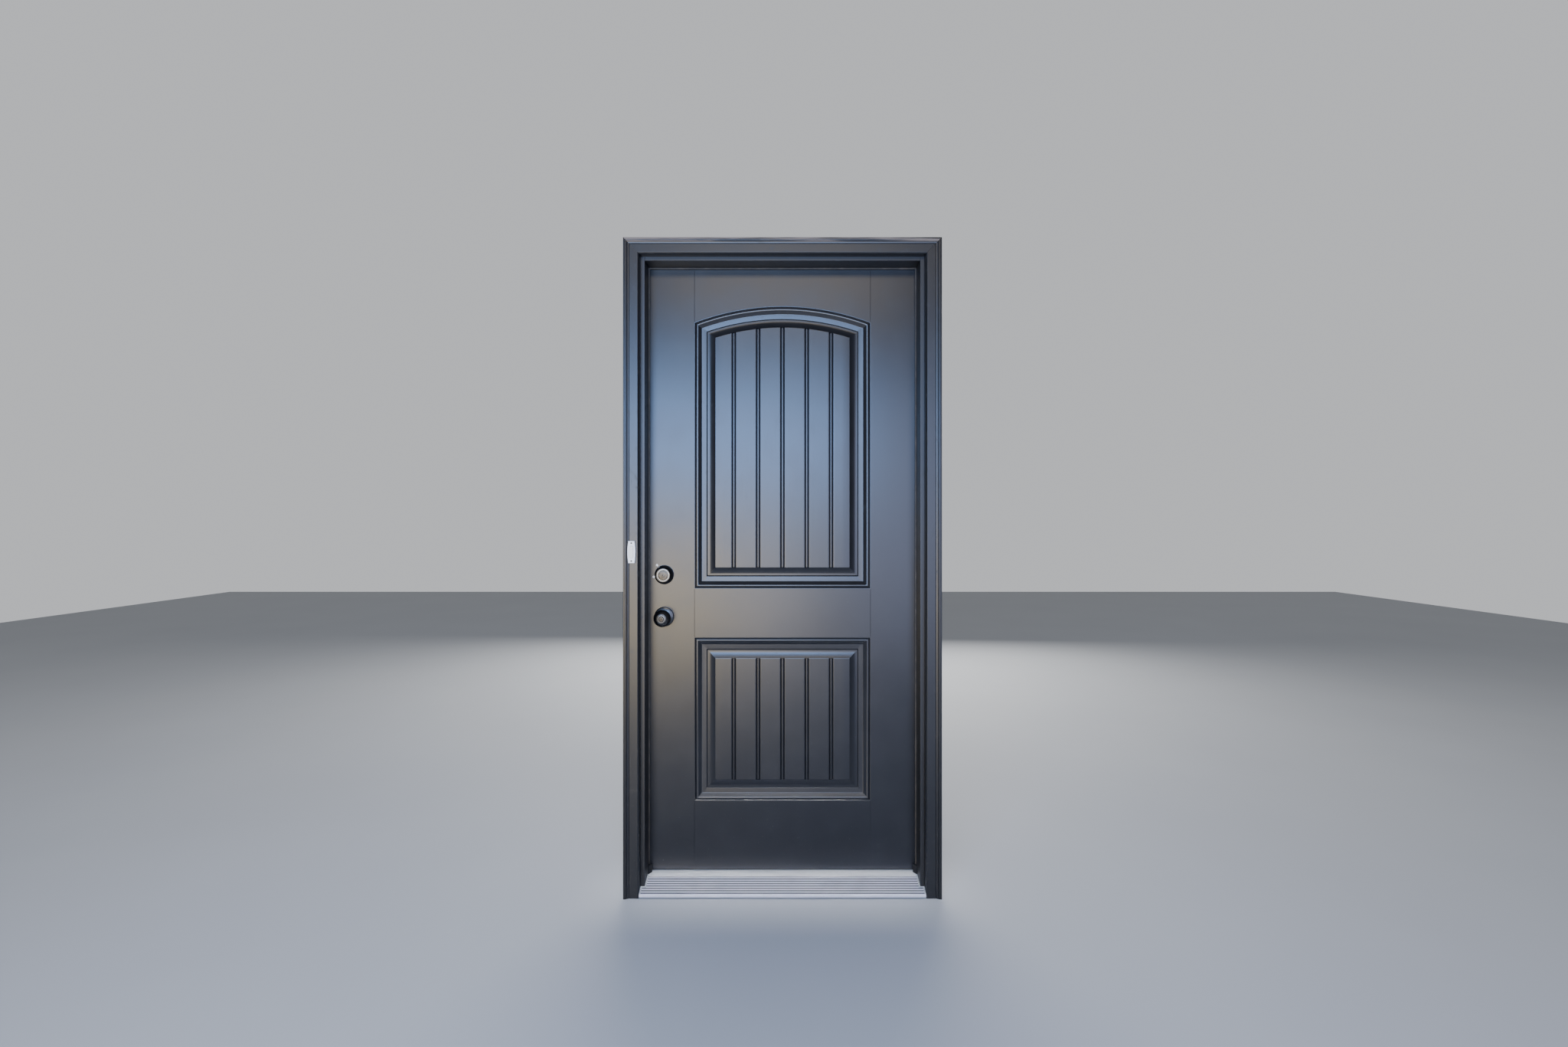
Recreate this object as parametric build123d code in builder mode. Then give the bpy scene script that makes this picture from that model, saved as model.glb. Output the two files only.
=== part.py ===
from build123d import *
import os
from math import cos, pi, sin, sqrt

# A panelled front door in its frame, in millimetres, as seen from the street.
# +X is to the right, -Y is towards the viewer and +Z is up. X = 0 is the middle of the
# doorway, Y = 0 the street edge of the jambs, and Z = 0 the underside of the sill.

# Door leaf
leaf_width = 908.0
leaf_height = 2007.0
leaf_thickness = 44.45
skin_thickness = 2.0
timber_stile_width = 38.0
timber_top_rail = 32.0
timber_bottom_rail = 38.0
lock_block_width = 90.0
lock_block_height = 300.0

# Gaps round the leaf
side_gap = 3.2
head_gap = 3.2
sweep_room = 6.0
seal_clearance = 0.3
overcut = 1.0

# Moulded faces of the leaf
stile_face = 162.0
top_rail_face = 136.5
lock_rail_face = 165.5
bottom_rail_face = 227.0
lower_panel_height = 541.0
arch_radius = 823.6
joint_line_width = 2.0
joint_line_depth = 0.9
joint_line_setback = 1.0

# Moulding round a panel, from its outline inwards
quirk_width = 5.5
quirk_depth = 3.6
bead_width = 7.0
bead_depth = 0.8
bead_rise = 0.6
slope_width = 11.5
recess_width = 14.5
recess_depth = 9.0
score_width = 3.5
score_depth = 1.6
lip_width = 6.5
cove_width = 20.0
field_depth = 1.6

# Planks of a panel's field
plank_grooves = 5
groove_width = 17.0
groove_depth = 4.6
groove_bead_width = 7.0
groove_bead_rise = 1.6
edge_plank = 52.6

# Frame
jamb_depth = 116.0
jamb_thickness = 31.75
rabbet_width = 50.8
rabbet_depth = 12.7
jamb_edge_round = 1.2
kerf_width = 3.0
kerf_depth = 9.0
kerf_setback = 1.6

# Brickmould, the street-side casing
casing_width = 50.8
casing_thickness = 31.75
casing_reveal = 12.7
casing_face = 26.5
casing_band = 8.5
casing_band_round = 2.0
casing_groove = 2.4
casing_step = 15.0
casing_score = 1.0
casing_score_setback = 20.0
casing_nose_width = 4.2
casing_nose_height = 20.0

# Weatherstrip and corner pads
strip_peek = 4.0
strip_round = 2.4
pad_height = 27.0
pad_width = 12.0
pad_tip = 3.0
pad_length = 14.0

# Sill
deck_wall = 2.0
deck_top = 37.5
deck_nose_top = 15.5
deck_nose_bottom = 7.0
deck_overhang = 33.0
deck_ledge = 12.0
deck_channel_floor = 25.0
deck_channel_setback = 4.5
rib_pitch = 9.6
rib_groove_width = 2.4
rib_groove_depth = 1.1
rib_grooves = 8
rib_first = 7.0
sealant_width = 4.5
sealant_height = 1.8
cap_height = 40.0
cap_edge_round = 3.0
substrate_setback = 14.0

# Door sweep
sweep_base = 2.2
sweep_width = 40.0
sweep_fins = 4
sweep_fin_width = 2.0

# Hinges
hinge_height = 101.6
hinge_leaf_width = 50.8
hinge_leaf_thickness = 2.2
hinge_backset = 6.35
hinge_corner = 16.0
hinge_knuckles = 5
knuckle_radius = 6.35
knuckle_gap = 0.3
knuckle_notch = 0.5
pin_radius = 3.5
pin_clearance = 0.05
pin_head_radius = 5.2
pin_head_height = 3.0
top_hinge_drop = 228.6
bottom_hinge_rise = 279.4
hinge_screw_rows = 4
hinge_screw_near = 0.52
hinge_screw_far = 0.76

# Screws
screw_head_radius = 4.4
plate_screw_head_radius = 3.8
screw_shank_radius = 2.1
hinge_screw_length = 24.0
plate_screw_length = 15.0
screw_slot = 1.1
screw_slot_depth = 1.4
screw_slot_reach = 1.3

# Lock bores and plates
backset = 60.3
knob_rise = 838.7
lock_spacing = 139.7
cross_bore_radius = 27.0
edge_bore_radius = 12.7
case_radius = 12.5
plate_width = 25.4
plate_height = 57.15
plate_thickness = 2.3
plate_corner = 3.0
plate_screw_spacing = 41.3
strike_thickness = 1.6
strike_room = 1.5
bolt_clearance = 0.3
cavity_room = 1.5

# Knob set
rose_radius = 33.0
rose_thickness = 8.5
rose_edge = 2.5
rose_flat_radius = 27.5
rose_dome = 1.4
neck_radius = 15.5
neck_clearance = 0.4
neck_back = 1.5
neck_front = 15.0
knob_radius = 28.5
knob_belly = 41.0
knob_length = 59.0
knob_face_radius = 21.5
knob_pocket_depth = 28.0
knob_cylinder_radius = 13.7
face_groove_radius = 10.3
face_groove_width = 1.2
face_groove_depth = 1.0
face_rise = 0.6
plug_radius = 6.5
running_clearance = 0.05
plug_proud = 0.8
keyway_width = 1.8
keyway_height = 8.6
keyway_depth = 18.0
spindle_size = 7.6
spindle_clearance = 0.4
button_radius = 7.6
button_bar = 3.0
button_proud = 5.0
button_bar_reach = 0.85
post_radius = 3.5
post_distance = 22.8
post_length = 16.0
mount_screw_radius = 2.0
mount_screw_head = 3.4
mount_screw_head_depth = 2.0
mount_screw_slot_reach = 1.2
latch_width = 13.0
latch_height = 13.0
latch_throw = 12.7
latch_length = 46.0
latch_bevel_start = 1.0

# Deadbolt
ring_radius = 32.0
ring_front_radius = 22.6
ring_length = 26.0
ring_edge = 3.0
ring_flare = 1.6
bolt_cylinder_radius = 21.0
bolt_cylinder_sink = 1.0
cylinder_step_radius = 16.5
cylinder_step_depth = 0.8
plug_drop = 3.5
bolt_rose_thickness = 9.0
bolt_width = 13.0
bolt_height = 14.0
bolt_length = 44.0
bolt_bevel = 0.6
turn_neck_radius = 8.0
turn_grip_width = 9.0
turn_grip_height = 34.0
turn_grip_length = 20.0
tail_width = 5.0
tail_thickness = 1.6
tail_clearance = 0.6

# Bell push on the latch-side brickmould
bell_height = 70.5
bell_width = 25.6
bell_end_width = 20.0
bell_thickness = 9.0
bell_edge_round = 2.0
bell_rise = 1105.0
bell_screw_spacing = 57.0
bell_screw_head = 3.0
bell_screw_head_depth = 1.6
bell_screw_sink = 0.4
bell_screw_slot = 0.8
bell_button_width = 13.0
bell_button_height = 40.0
bell_button_proud = 2.2
bell_button_sink = 4.0
bell_button_round = 1.3
bell_travel = 1.5
bell_slot_clearance = 0.4

# Places worked out from the sizes above
rabbet_half = leaf_width / 2 + side_gap
stop_half = rabbet_half - rabbet_depth
jamb_half = stop_half + jamb_thickness
stop_face = jamb_depth - rabbet_width
leaf_inside = jamb_depth
leaf_outside = leaf_inside - leaf_thickness
leaf_middle = (leaf_inside + leaf_outside) / 2
leaf_bottom = cap_height + sweep_room
leaf_top = leaf_bottom + leaf_height
rabbet_top = leaf_top + head_gap
stop_top = rabbet_top - rabbet_depth
jamb_top = stop_top + jamb_thickness
casing_inner = stop_half + casing_reveal
casing_outer = casing_inner + casing_width
casing_head = stop_top + casing_reveal
casing_top = casing_head + casing_width

panel_half = leaf_width / 2 - stile_face
lower_bottom = leaf_bottom + bottom_rail_face
lower_top = lower_bottom + lower_panel_height
upper_bottom = lower_top + lock_rail_face
upper_crown = leaf_top - top_rail_face
arch_centre = upper_crown - arch_radius
field_inset = (
    quirk_width + bead_width + slope_width + recess_width + score_width + lip_width + cove_width
)
field_half = panel_half - field_inset
plank_pitch = (2 * field_half - 2 * edge_plank - groove_width) / (plank_grooves - 1)

pin_x = (leaf_width / 2 + rabbet_half) / 2
pin_y = leaf_inside - leaf_thickness + hinge_backset + hinge_leaf_width
hinge_heights = {
    "top": leaf_top - top_hinge_drop,
    "middle": (leaf_top - top_hinge_drop + leaf_bottom + bottom_hinge_rise) / 2,
    "bottom": leaf_bottom + bottom_hinge_rise,
}

latch_edge = -leaf_width / 2
lock_x = latch_edge + backset
knob_z = leaf_bottom + knob_rise
bolt_z = knob_z + lock_spacing
tail_z = bolt_z - plug_drop
strike_x = -rabbet_half

seal_front = leaf_outside - seal_clearance
strip_half = stop_half - strip_peek
deck_end = stop_face + deck_ledge
channel_front = deck_end + deck_channel_setback
channel_back = jamb_depth - deck_wall
bell_x = -(casing_outer - casing_step - bell_width / 2)

street_face = Plane(origin=(0, leaf_outside, 0), x_dir=(1, 0, 0), z_dir=(0, -1, 0))
os.makedirs("parts", exist_ok=True)


def save(piece, label):
    """Label a finished piece and write it to its own file."""
    piece.part.label = label
    export_step(piece.part, f"parts/{label}.step")


def lathe_plane(x, z, face_y, outwards):
    """A plane through a lock's axis: local x is the radius, local y runs out of the face.
    outwards is -1 on the street side and 1 on the room side."""
    return Plane(origin=(x, face_y, z), x_dir=(1, 0, 0), z_dir=(0, 0, outwards))


def lathe_axis(x, z):
    return Axis((x, 0, z), (0, 1, 0))


def turned(plane, axis, points, mode=Mode.ADD):
    """Turn a closed outline of (radius, height) points round a lock's axis."""
    with BuildSketch(plane) as half_section:
        with BuildLine():
            Polyline(*points, close=True)
        make_face()
    revolve(half_section.sketch, axis=axis, mode=mode)


def block(x_range, y_range, z_range, mode=Mode.ADD):
    """A rectangular block given by its low and high x, y and z."""
    with BuildSketch(Plane.XY.offset(z_range[0])) as base:
        with Locations(((x_range[0] + x_range[1]) / 2, (y_range[0] + y_range[1]) / 2)):
            Rectangle(x_range[1] - x_range[0], y_range[1] - y_range[0])
    extrude(base.sketch, amount=z_range[1] - z_range[0], mode=mode)


def drilled_across(x, z, radius, y_range, mode=Mode.SUBTRACT):
    """A round hole, or a round bar, through the leaf's thickness."""
    with BuildSketch(Plane.XZ.offset(-y_range[0])) as end:
        with Locations((x, z)):
            Circle(radius)
    extrude(end.sketch, amount=y_range[0] - y_range[1], mode=mode)


def drilled_along(y, z, radius, x_range, mode=Mode.SUBTRACT):
    """A round hole, or a round bar, along the leaf's width."""
    with BuildSketch(Plane.YZ.offset(x_range[0])) as end:
        with Locations((y, z)):
            Circle(radius)
    extrude(end.sketch, amount=x_range[1] - x_range[0], mode=mode)


def wood_screw(head_radius, shank_radius, length, driven=True):
    """A countersunk screw with its head's face at the origin, pointing down.
    driven cuts the cross slot, and without it the form drills the screw's own hole."""
    with BuildPart() as screw:
        with BuildSketch(Plane.XZ):
            with BuildLine():
                Polyline(
                    (0, 0),
                    (head_radius, 0),
                    (shank_radius, shank_radius - head_radius),
                    (shank_radius, shank_radius - length),
                    (0, -length),
                    close=True,
                )
            make_face()
        revolve(axis=Axis.Z)
        if driven:
            with BuildSketch(Plane.XY):
                Rectangle(screw_slot, head_radius * screw_slot_reach)
                Rectangle(head_radius * screw_slot_reach, screw_slot)
            extrude(amount=-screw_slot_depth, mode=Mode.SUBTRACT)
    return screw.part


# Jambs: rabbeted timber, the two legs standing on the floor with the head across their tops
def jamb_leg_section():
    """Section of the right-hand leg, with the kerf that holds its weatherstrip."""
    with BuildSketch(Plane.XY) as section:
        with BuildLine():
            Polyline(
                (stop_half, 0),
                (jamb_half, 0),
                (jamb_half, jamb_depth),
                (rabbet_half, jamb_depth),
                (rabbet_half, stop_face),
                (stop_half, stop_face),
                close=True,
            )
        make_face()
        fillet(section.vertices().group_by(Axis.X)[0], radius=jamb_edge_round)
        with Locations((rabbet_half - kerf_setback - kerf_width / 2, stop_face - kerf_depth / 2)):
            Rectangle(kerf_width, kerf_depth, mode=Mode.SUBTRACT)
    return section.sketch


def plate_outline(plane, y_range, z, height, corner, round_both=True):
    """A plate with rounded corners, drawn on a plane that faces along X."""
    with BuildSketch(plane) as outline:
        with Locations(((y_range[0] + y_range[1]) / 2, z)):
            Rectangle(y_range[1] - y_range[0], height)
        if round_both:
            fillet(outline.vertices(), radius=corner)
        else:
            fillet(outline.vertices().group_by(Axis.Y)[0], radius=corner)
    return outline.sketch


def hinge_plate(face_x, depth, z, mode=Mode.ADD):
    """The flat of one hinge leaf, sunk by depth (with its sign) into the face at face_x."""
    y_range = (pin_y - hinge_leaf_width, pin_y)
    flat = plate_outline(Plane.YZ.offset(face_x), y_range, z, hinge_height, hinge_corner, False)
    extrude(flat, amount=depth, mode=mode)


def hinge_screw_places(z):
    """Centres of one leaf's screws: a zigzag across its flat."""
    places = []
    for row in range(hinge_screw_rows):
        share = (row + 0.5) / hinge_screw_rows - 0.5
        near = row in (0, hinge_screw_rows - 1)
        y = pin_y - hinge_leaf_width * (hinge_screw_near if near else hinge_screw_far)
        places.append((y, z + share * (hinge_height - 2 * screw_head_radius)))
    return places


hinge_screw = wood_screw(screw_head_radius, screw_shank_radius, hinge_screw_length)
hinge_screw_hole = wood_screw(screw_head_radius, screw_shank_radius, hinge_screw_length, driven=False)
jamb_screw = wood_screw(screw_head_radius, screw_shank_radius, plate_screw_length)
jamb_screw_hole = wood_screw(screw_head_radius, screw_shank_radius, plate_screw_length, driven=False)


def hinge_screw_row(screw, face_x, turn):
    """Screws of the three hinges, their heads flush with face_x, turned about Y to face it."""
    for z in hinge_heights.values():
        for y, screw_z in hinge_screw_places(z):
            add(screw.moved(Location((face_x, y, screw_z), (0, turn, 0))))


with BuildPart() as door_hinge_screws:
    hinge_screw_row(hinge_screw, leaf_width / 2, 90)

with BuildPart() as door_hinge_holes:
    hinge_screw_row(hinge_screw_hole, leaf_width / 2, 90)

with BuildPart() as jamb_hinge_screws:
    hinge_screw_row(jamb_screw, rabbet_half, -90)

with BuildPart() as jamb_hinge_holes:
    hinge_screw_row(jamb_screw_hole, rabbet_half, -90)

plate_screw = wood_screw(plate_screw_head_radius, screw_shank_radius, plate_screw_length)
plate_screw_hole = wood_screw(
    plate_screw_head_radius, screw_shank_radius, plate_screw_length, driven=False
)


def plate_screw_pair(screw, face_x, turn):
    """Two screws in each lock plate, at the knob's height and at the deadbolt's."""
    for z in (knob_z, bolt_z):
        for side in (-1, 1):
            place = (face_x, leaf_middle, z + side * plate_screw_spacing / 2)
            add(screw.moved(Location(place, (0, turn, 0))))


with BuildPart() as faceplate_screws:
    plate_screw_pair(plate_screw, latch_edge, -90)

with BuildPart() as faceplate_holes:
    plate_screw_pair(plate_screw_hole, latch_edge, -90)

with BuildPart() as strike_screws:
    plate_screw_pair(plate_screw, strike_x, 90)

with BuildPart() as strike_holes:
    plate_screw_pair(plate_screw_hole, strike_x, 90)

save(door_hinge_screws, "door_hinge_screws")
save(jamb_hinge_screws, "jamb_hinge_screws")
save(faceplate_screws, "faceplate_screws")
save(strike_screws, "strike_screws")

latch_pocket_y = (
    leaf_middle - latch_width / 2 - strike_room,
    leaf_middle + latch_width / 2 + strike_room,
)
latch_pocket_z = (
    knob_z - latch_height / 2 - strike_room,
    knob_z + latch_height / 2 + strike_room,
)
bolt_pocket_y = (
    leaf_middle - bolt_width / 2 - strike_room,
    leaf_middle + bolt_width / 2 + strike_room,
)
bolt_pocket_z = (
    bolt_z - bolt_height / 2 - strike_room,
    bolt_z + bolt_height / 2 + strike_room,
)
latch_reach = latch_edge - latch_throw
strike_y = (leaf_middle - plate_width / 2, jamb_depth)


def strike_outline(z):
    return plate_outline(Plane.YZ.offset(strike_x), strike_y, z, plate_height, plate_corner, False)


with BuildPart() as hinge_jamb:
    extrude(jamb_leg_section(), amount=rabbet_top)
    for hinge_z in hinge_heights.values():
        hinge_plate(rabbet_half, hinge_leaf_thickness, hinge_z, mode=Mode.SUBTRACT)
    add(jamb_hinge_holes.part, mode=Mode.SUBTRACT)

with BuildPart() as latch_jamb:
    extrude(jamb_leg_section(), amount=rabbet_top)
    mirror(about=Plane.YZ, mode=Mode.REPLACE)
    for plate_z in (knob_z, bolt_z):
        extrude(strike_outline(plate_z), amount=-strike_thickness, mode=Mode.SUBTRACT)
    block((latch_reach - strike_room, strike_x), latch_pocket_y, latch_pocket_z, Mode.SUBTRACT)
    block((-jamb_half, strike_x), bolt_pocket_y, bolt_pocket_z, Mode.SUBTRACT)
    add(strike_holes.part, mode=Mode.SUBTRACT)

with BuildPart() as head_jamb:
    block((-jamb_half, jamb_half), (0, jamb_depth), (rabbet_top, jamb_top))
    block((-stop_half, stop_half), (0, stop_face), (stop_top, rabbet_top))
    lower_edges = head_jamb.edges().filter_by(Axis.X).group_by(Axis.Z)[0]
    fillet(lower_edges, radius=jamb_edge_round)
    head_kerf_z = rabbet_top - kerf_setback
    block(
        (-stop_half, stop_half),
        (stop_face - kerf_depth, stop_face),
        (head_kerf_z - kerf_width, head_kerf_z),
        Mode.SUBTRACT,
    )

save(hinge_jamb, "hinge_jamb")
save(latch_jamb, "latch_jamb")
save(head_jamb, "head_jamb")


# Strike plates, let into the latch jamb flush with its rabbet
def strike_plate(z, pocket_y, pocket_z):
    extrude(strike_outline(z), amount=-strike_thickness)
    block((strike_x - strike_thickness, strike_x), pocket_y, pocket_z, Mode.SUBTRACT)
    add(strike_holes.part, mode=Mode.SUBTRACT)


with BuildPart() as latch_strike_plate:
    strike_plate(knob_z, latch_pocket_y, latch_pocket_z)

with BuildPart() as deadbolt_strike_plate:
    strike_plate(bolt_z, bolt_pocket_y, bolt_pocket_z)

save(latch_strike_plate, "latch_strike_plate")
save(deadbolt_strike_plate, "deadbolt_strike_plate")


# Brickmould: a milled casing nailed to the street edge of the jambs, mitred at the head
def casing_section(plane):
    """Local x runs from the doorway outwards, local y from the back to the front."""
    band_edge = casing_width - casing_band
    step_edge = casing_width - casing_step
    score_edge = casing_width - casing_score_setback
    with BuildSketch(plane) as section:
        with BuildLine():
            back = Polyline(
                (0, casing_nose_height),
                (0, 0),
                (casing_width, 0),
                (casing_width, casing_thickness - casing_band_round),
            )
            rounded = RadiusArc(
                back @ 1,
                (casing_width - casing_band_round, casing_thickness),
                -casing_band_round,
            )
            band = Polyline(
                rounded @ 1,
                (band_edge, casing_thickness),
                (band_edge - casing_groove / 2, casing_thickness - casing_groove),
                (band_edge - casing_groove, casing_thickness - casing_groove / 2),
            )
            ogee = RadiusArc(band @ 1, (step_edge, casing_face), casing_step)
            face = Polyline(
                ogee @ 1,
                (score_edge + casing_score, casing_face),
                (score_edge, casing_face - casing_score),
                (score_edge - casing_score, casing_face),
                (casing_nose_width, casing_face),
            )
            RadiusArc(face @ 1, back @ 0, casing_step)
        make_face()
    return section.sketch


mitre_right = Plane(origin=(casing_inner, 0, casing_head), x_dir=(0, 1, 0), z_dir=(1, 0, -1))
mitre_left = Plane(origin=(-casing_inner, 0, casing_head), x_dir=(0, 1, 0), z_dir=(-1, 0, -1))

with BuildPart() as hinge_brickmould:
    leg_plane = Plane(origin=(casing_inner, 0, 0), x_dir=(1, 0, 0), z_dir=(0, 0, -1))
    extrude(casing_section(leg_plane), amount=-casing_top)
    split(bisect_by=mitre_right, keep=Keep.TOP)

with BuildPart() as latch_brickmould:
    leg_plane = Plane(origin=(-casing_inner, 0, 0), x_dir=(-1, 0, 0), z_dir=(0, 0, 1))
    extrude(casing_section(leg_plane), amount=casing_top)
    split(bisect_by=mitre_left, keep=Keep.TOP)

with BuildPart() as head_brickmould:
    head_plane = Plane(origin=(-casing_outer, 0, casing_head), x_dir=(0, 0, 1), z_dir=(1, 0, 0))
    extrude(casing_section(head_plane), amount=2 * casing_outer)
    split(bisect_by=mitre_right, keep=Keep.BOTTOM)
    split(bisect_by=mitre_left, keep=Keep.BOTTOM)

save(hinge_brickmould, "hinge_brickmould")
save(latch_brickmould, "latch_brickmould")
save(head_brickmould, "head_brickmould")

# Weatherstrip: a foam bulb that fills the rabbet's corner, with a barb pressed into the kerf
barb_outer = rabbet_half - kerf_setback

with BuildPart() as hinge_weatherstrip:
    with BuildSketch(Plane.XY.offset(deck_top)) as strip_section:
        with Locations(((strip_half + rabbet_half) / 2, (stop_face + seal_front) / 2)):
            Rectangle(rabbet_half - strip_half, seal_front - stop_face)
        fillet(strip_section.vertices().group_by(Axis.X)[0], radius=strip_round)
        with Locations((barb_outer - kerf_width / 2, stop_face - kerf_depth / 2)):
            Rectangle(kerf_width, kerf_depth)
    extrude(amount=rabbet_top - deck_top)

with BuildPart() as latch_weatherstrip:
    add(hinge_weatherstrip.part)
    mirror(about=Plane.YZ, mode=Mode.REPLACE)

with BuildPart() as head_weatherstrip:
    block(
        (-strip_half, strip_half),
        (stop_face, seal_front),
        (stop_top - strip_peek, rabbet_top),
    )
    strip_edges = head_weatherstrip.edges().filter_by(Axis.X).group_by(Axis.Z)[0]
    fillet(strip_edges, radius=strip_round)
    block(
        (-strip_half, strip_half),
        (stop_face - kerf_depth, stop_face),
        (head_kerf_z - kerf_width, head_kerf_z),
    )

# Corner pads: foam wedges on the stops, just above the sill
with BuildPart() as corner_pads:
    with BuildSketch(Plane.XY.offset(deck_top)):
        with BuildLine():
            Polyline(
                (stop_half, stop_face - pad_length),
                (stop_half, stop_face),
                (stop_half - pad_width, stop_face),
                (stop_half - pad_tip, stop_face - pad_length),
                close=True,
            )
        make_face()
    extrude(amount=pad_height)
    mirror(about=Plane.YZ)

save(hinge_weatherstrip, "hinge_weatherstrip")
save(latch_weatherstrip, "latch_weatherstrip")
save(head_weatherstrip, "head_weatherstrip")
save(corner_pads, "corner_pads")

# Sill: a ribbed aluminium extrusion over a composite base, with a timber cap under the leaf
deck_slope = (deck_top - deck_nose_top) / (stop_face - deck_ledge + deck_overhang)
slope_end = stop_face - deck_ledge


def deck_height(y):
    """Height of the sloping deck at a distance y."""
    return deck_nose_top + (y + deck_overhang) * deck_slope


with BuildPart() as sill_deck:
    with BuildSketch(Plane.YZ.offset(-rabbet_half)):
        with BuildLine():
            Polyline(
                (-deck_overhang, deck_nose_bottom),
                (-deck_overhang, deck_nose_top),
                (slope_end, deck_top),
                (channel_front, deck_top),
                (channel_front, deck_channel_floor),
                (channel_back, deck_channel_floor),
                (channel_back, deck_top),
                (jamb_depth, deck_top),
                (jamb_depth, deck_channel_floor - deck_wall),
                (channel_front - deck_wall, deck_channel_floor - deck_wall),
                (channel_front - deck_wall, deck_top - deck_wall),
                (slope_end, deck_top - deck_wall),
                (deck_wall - deck_overhang, deck_nose_top - deck_wall),
                (deck_wall - deck_overhang, deck_nose_bottom),
                close=True,
            )
        make_face()
    extrude(amount=2 * rabbet_half)
    fillet(
        sill_deck.edges().filter_by(Axis.X).group_by(Axis.Y)[0].sort_by(Axis.Z)[-1],
        radius=deck_wall,
    )
    for groove in range(rib_grooves):
        groove_y = rib_first - deck_overhang + groove * rib_pitch
        groove_z = deck_height(groove_y)
        with BuildSketch(Plane.YZ.offset(-rabbet_half)):
            with BuildLine():
                Polyline(
                    (groove_y - rib_groove_width / 2, groove_z + rib_groove_depth),
                    (groove_y - rib_groove_width / 2, groove_z - deck_slope * rib_groove_width / 2),
                    (groove_y, groove_z - rib_groove_depth),
                    (groove_y + rib_groove_width / 2, groove_z + deck_slope * rib_groove_width / 2),
                    (groove_y + rib_groove_width / 2, groove_z + rib_groove_depth),
                    close=True,
                )
            make_face()
        extrude(amount=2 * rabbet_half, mode=Mode.SUBTRACT)
    for low, high in ((-rabbet_half, -stop_half), (stop_half, rabbet_half)):
        block((low, high), (0, stop_face), (0, deck_top + overcut), Mode.SUBTRACT)

base_front = substrate_setback - deck_overhang
with BuildPart() as sill_base:
    with BuildSketch(Plane.YZ.offset(-stop_half)):
        with BuildLine():
            Polyline(
                (base_front, 0),
                (base_front, deck_height(base_front) - deck_wall - rib_groove_depth),
                (slope_end, deck_top - deck_wall - rib_groove_depth),
                (channel_front - deck_wall, deck_top - deck_wall - rib_groove_depth),
                (channel_front - deck_wall, deck_channel_floor - deck_wall),
                (jamb_depth, deck_channel_floor - deck_wall),
                (jamb_depth, 0),
                close=True,
            )
        make_face()
    extrude(amount=2 * stop_half)

with BuildPart() as threshold_cap:
    block(
        (-rabbet_half, rabbet_half),
        (channel_front, channel_back),
        (deck_channel_floor, cap_height),
    )
    cap_edges = threshold_cap.edges().filter_by(Axis.X).group_by(Axis.Z)[-1].sort_by(Axis.Y)[0]
    fillet(cap_edges, radius=cap_edge_round)

# Sealant beads: along both ends of the deck, where it meets the brickmould and the stops
with BuildPart() as sill_sealant:
    with BuildSketch(Plane.XY):
        with BuildLine():
            Polyline(
                (rabbet_half, deck_wall - deck_overhang),
                (rabbet_half, 0),
                (stop_half, 0),
                (stop_half, slope_end - deck_wall),
                (stop_half - sealant_width, slope_end - deck_wall),
                (stop_half - sealant_width, -sealant_width),
                (rabbet_half - sealant_width, -sealant_width),
                (rabbet_half - sealant_width, deck_wall - deck_overhang),
                close=True,
            )
        make_face()
    extrude(amount=deck_top)
    with BuildSketch(Plane.YZ.offset(stop_half - 2 * sealant_width)):
        with BuildLine():
            Polyline(
                (-deck_overhang, deck_nose_top - rib_groove_depth),
                (-deck_overhang, deck_nose_top + sealant_height),
                (slope_end, deck_top + sealant_height),
                (slope_end, deck_top - rib_groove_depth),
                close=True,
            )
        make_face()
    extrude(amount=rabbet_half, mode=Mode.INTERSECT)
    add(sill_deck.part, mode=Mode.SUBTRACT)
    mirror(about=Plane.YZ)

save(sill_sealant, "sill_sealant")
save(sill_deck, "sill_deck")
save(sill_base, "sill_base")
save(threshold_cap, "threshold_cap")


# Leaf faces: one moulded form, which gives both skins and everything between them
def shoulder(inset):
    """Height at which an arched outline leaves its straight sides."""
    half = panel_half - inset
    return arch_centre + sqrt((arch_radius - inset) ** 2 - half ** 2)


def panel_outline(inset, depth, arched):
    """A panel's outline, drawn inset from its edge and depth behind the leaf's face."""
    half = panel_half - inset
    low = (upper_bottom if arched else lower_bottom) + inset
    high = shoulder(inset) if arched else lower_top - inset
    with BuildSketch(street_face.offset(-depth)) as outline:
        with BuildLine():
            sides = Polyline((-half, high), (-half, low), (half, low), (half, high))
            if arched:
                ThreePointArc(sides @ 1, (0, upper_crown - inset), sides @ 0)
            else:
                Line(sides @ 1, sides @ 0)
        make_face()
    return outline.sketch


def moulding_section():
    """Points (inset, depth) of the moulding, from the panel's outline to its field."""
    points = [(0, 0), (quirk_width / 2, quirk_depth), (quirk_width, bead_depth)]
    for step in (1, 2, 3):
        share = step / 3
        points.append((quirk_width + bead_width * share, bead_depth - bead_rise * sin(pi * share)))
    inset = quirk_width + bead_width
    for step in (1, 2, 3, 4):
        share = step / 4
        fall = (1 - cos(pi * share)) / 2
        points.append((inset + slope_width * share, bead_depth + (recess_depth - bead_depth) * fall))
    inset += slope_width + recess_width
    points.append((inset, recess_depth))
    points.append((inset + score_width / 2, recess_depth + score_depth))
    points.append((inset + score_width, recess_depth))
    inset += score_width + lip_width
    points.append((inset, recess_depth))
    for step in (1, 2, 3):
        share = step / 3
        climb = 1 - cos(pi / 2 * share)
        points.append((inset + cove_width * share, recess_depth - (recess_depth - field_depth) * climb))
    return points


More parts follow.
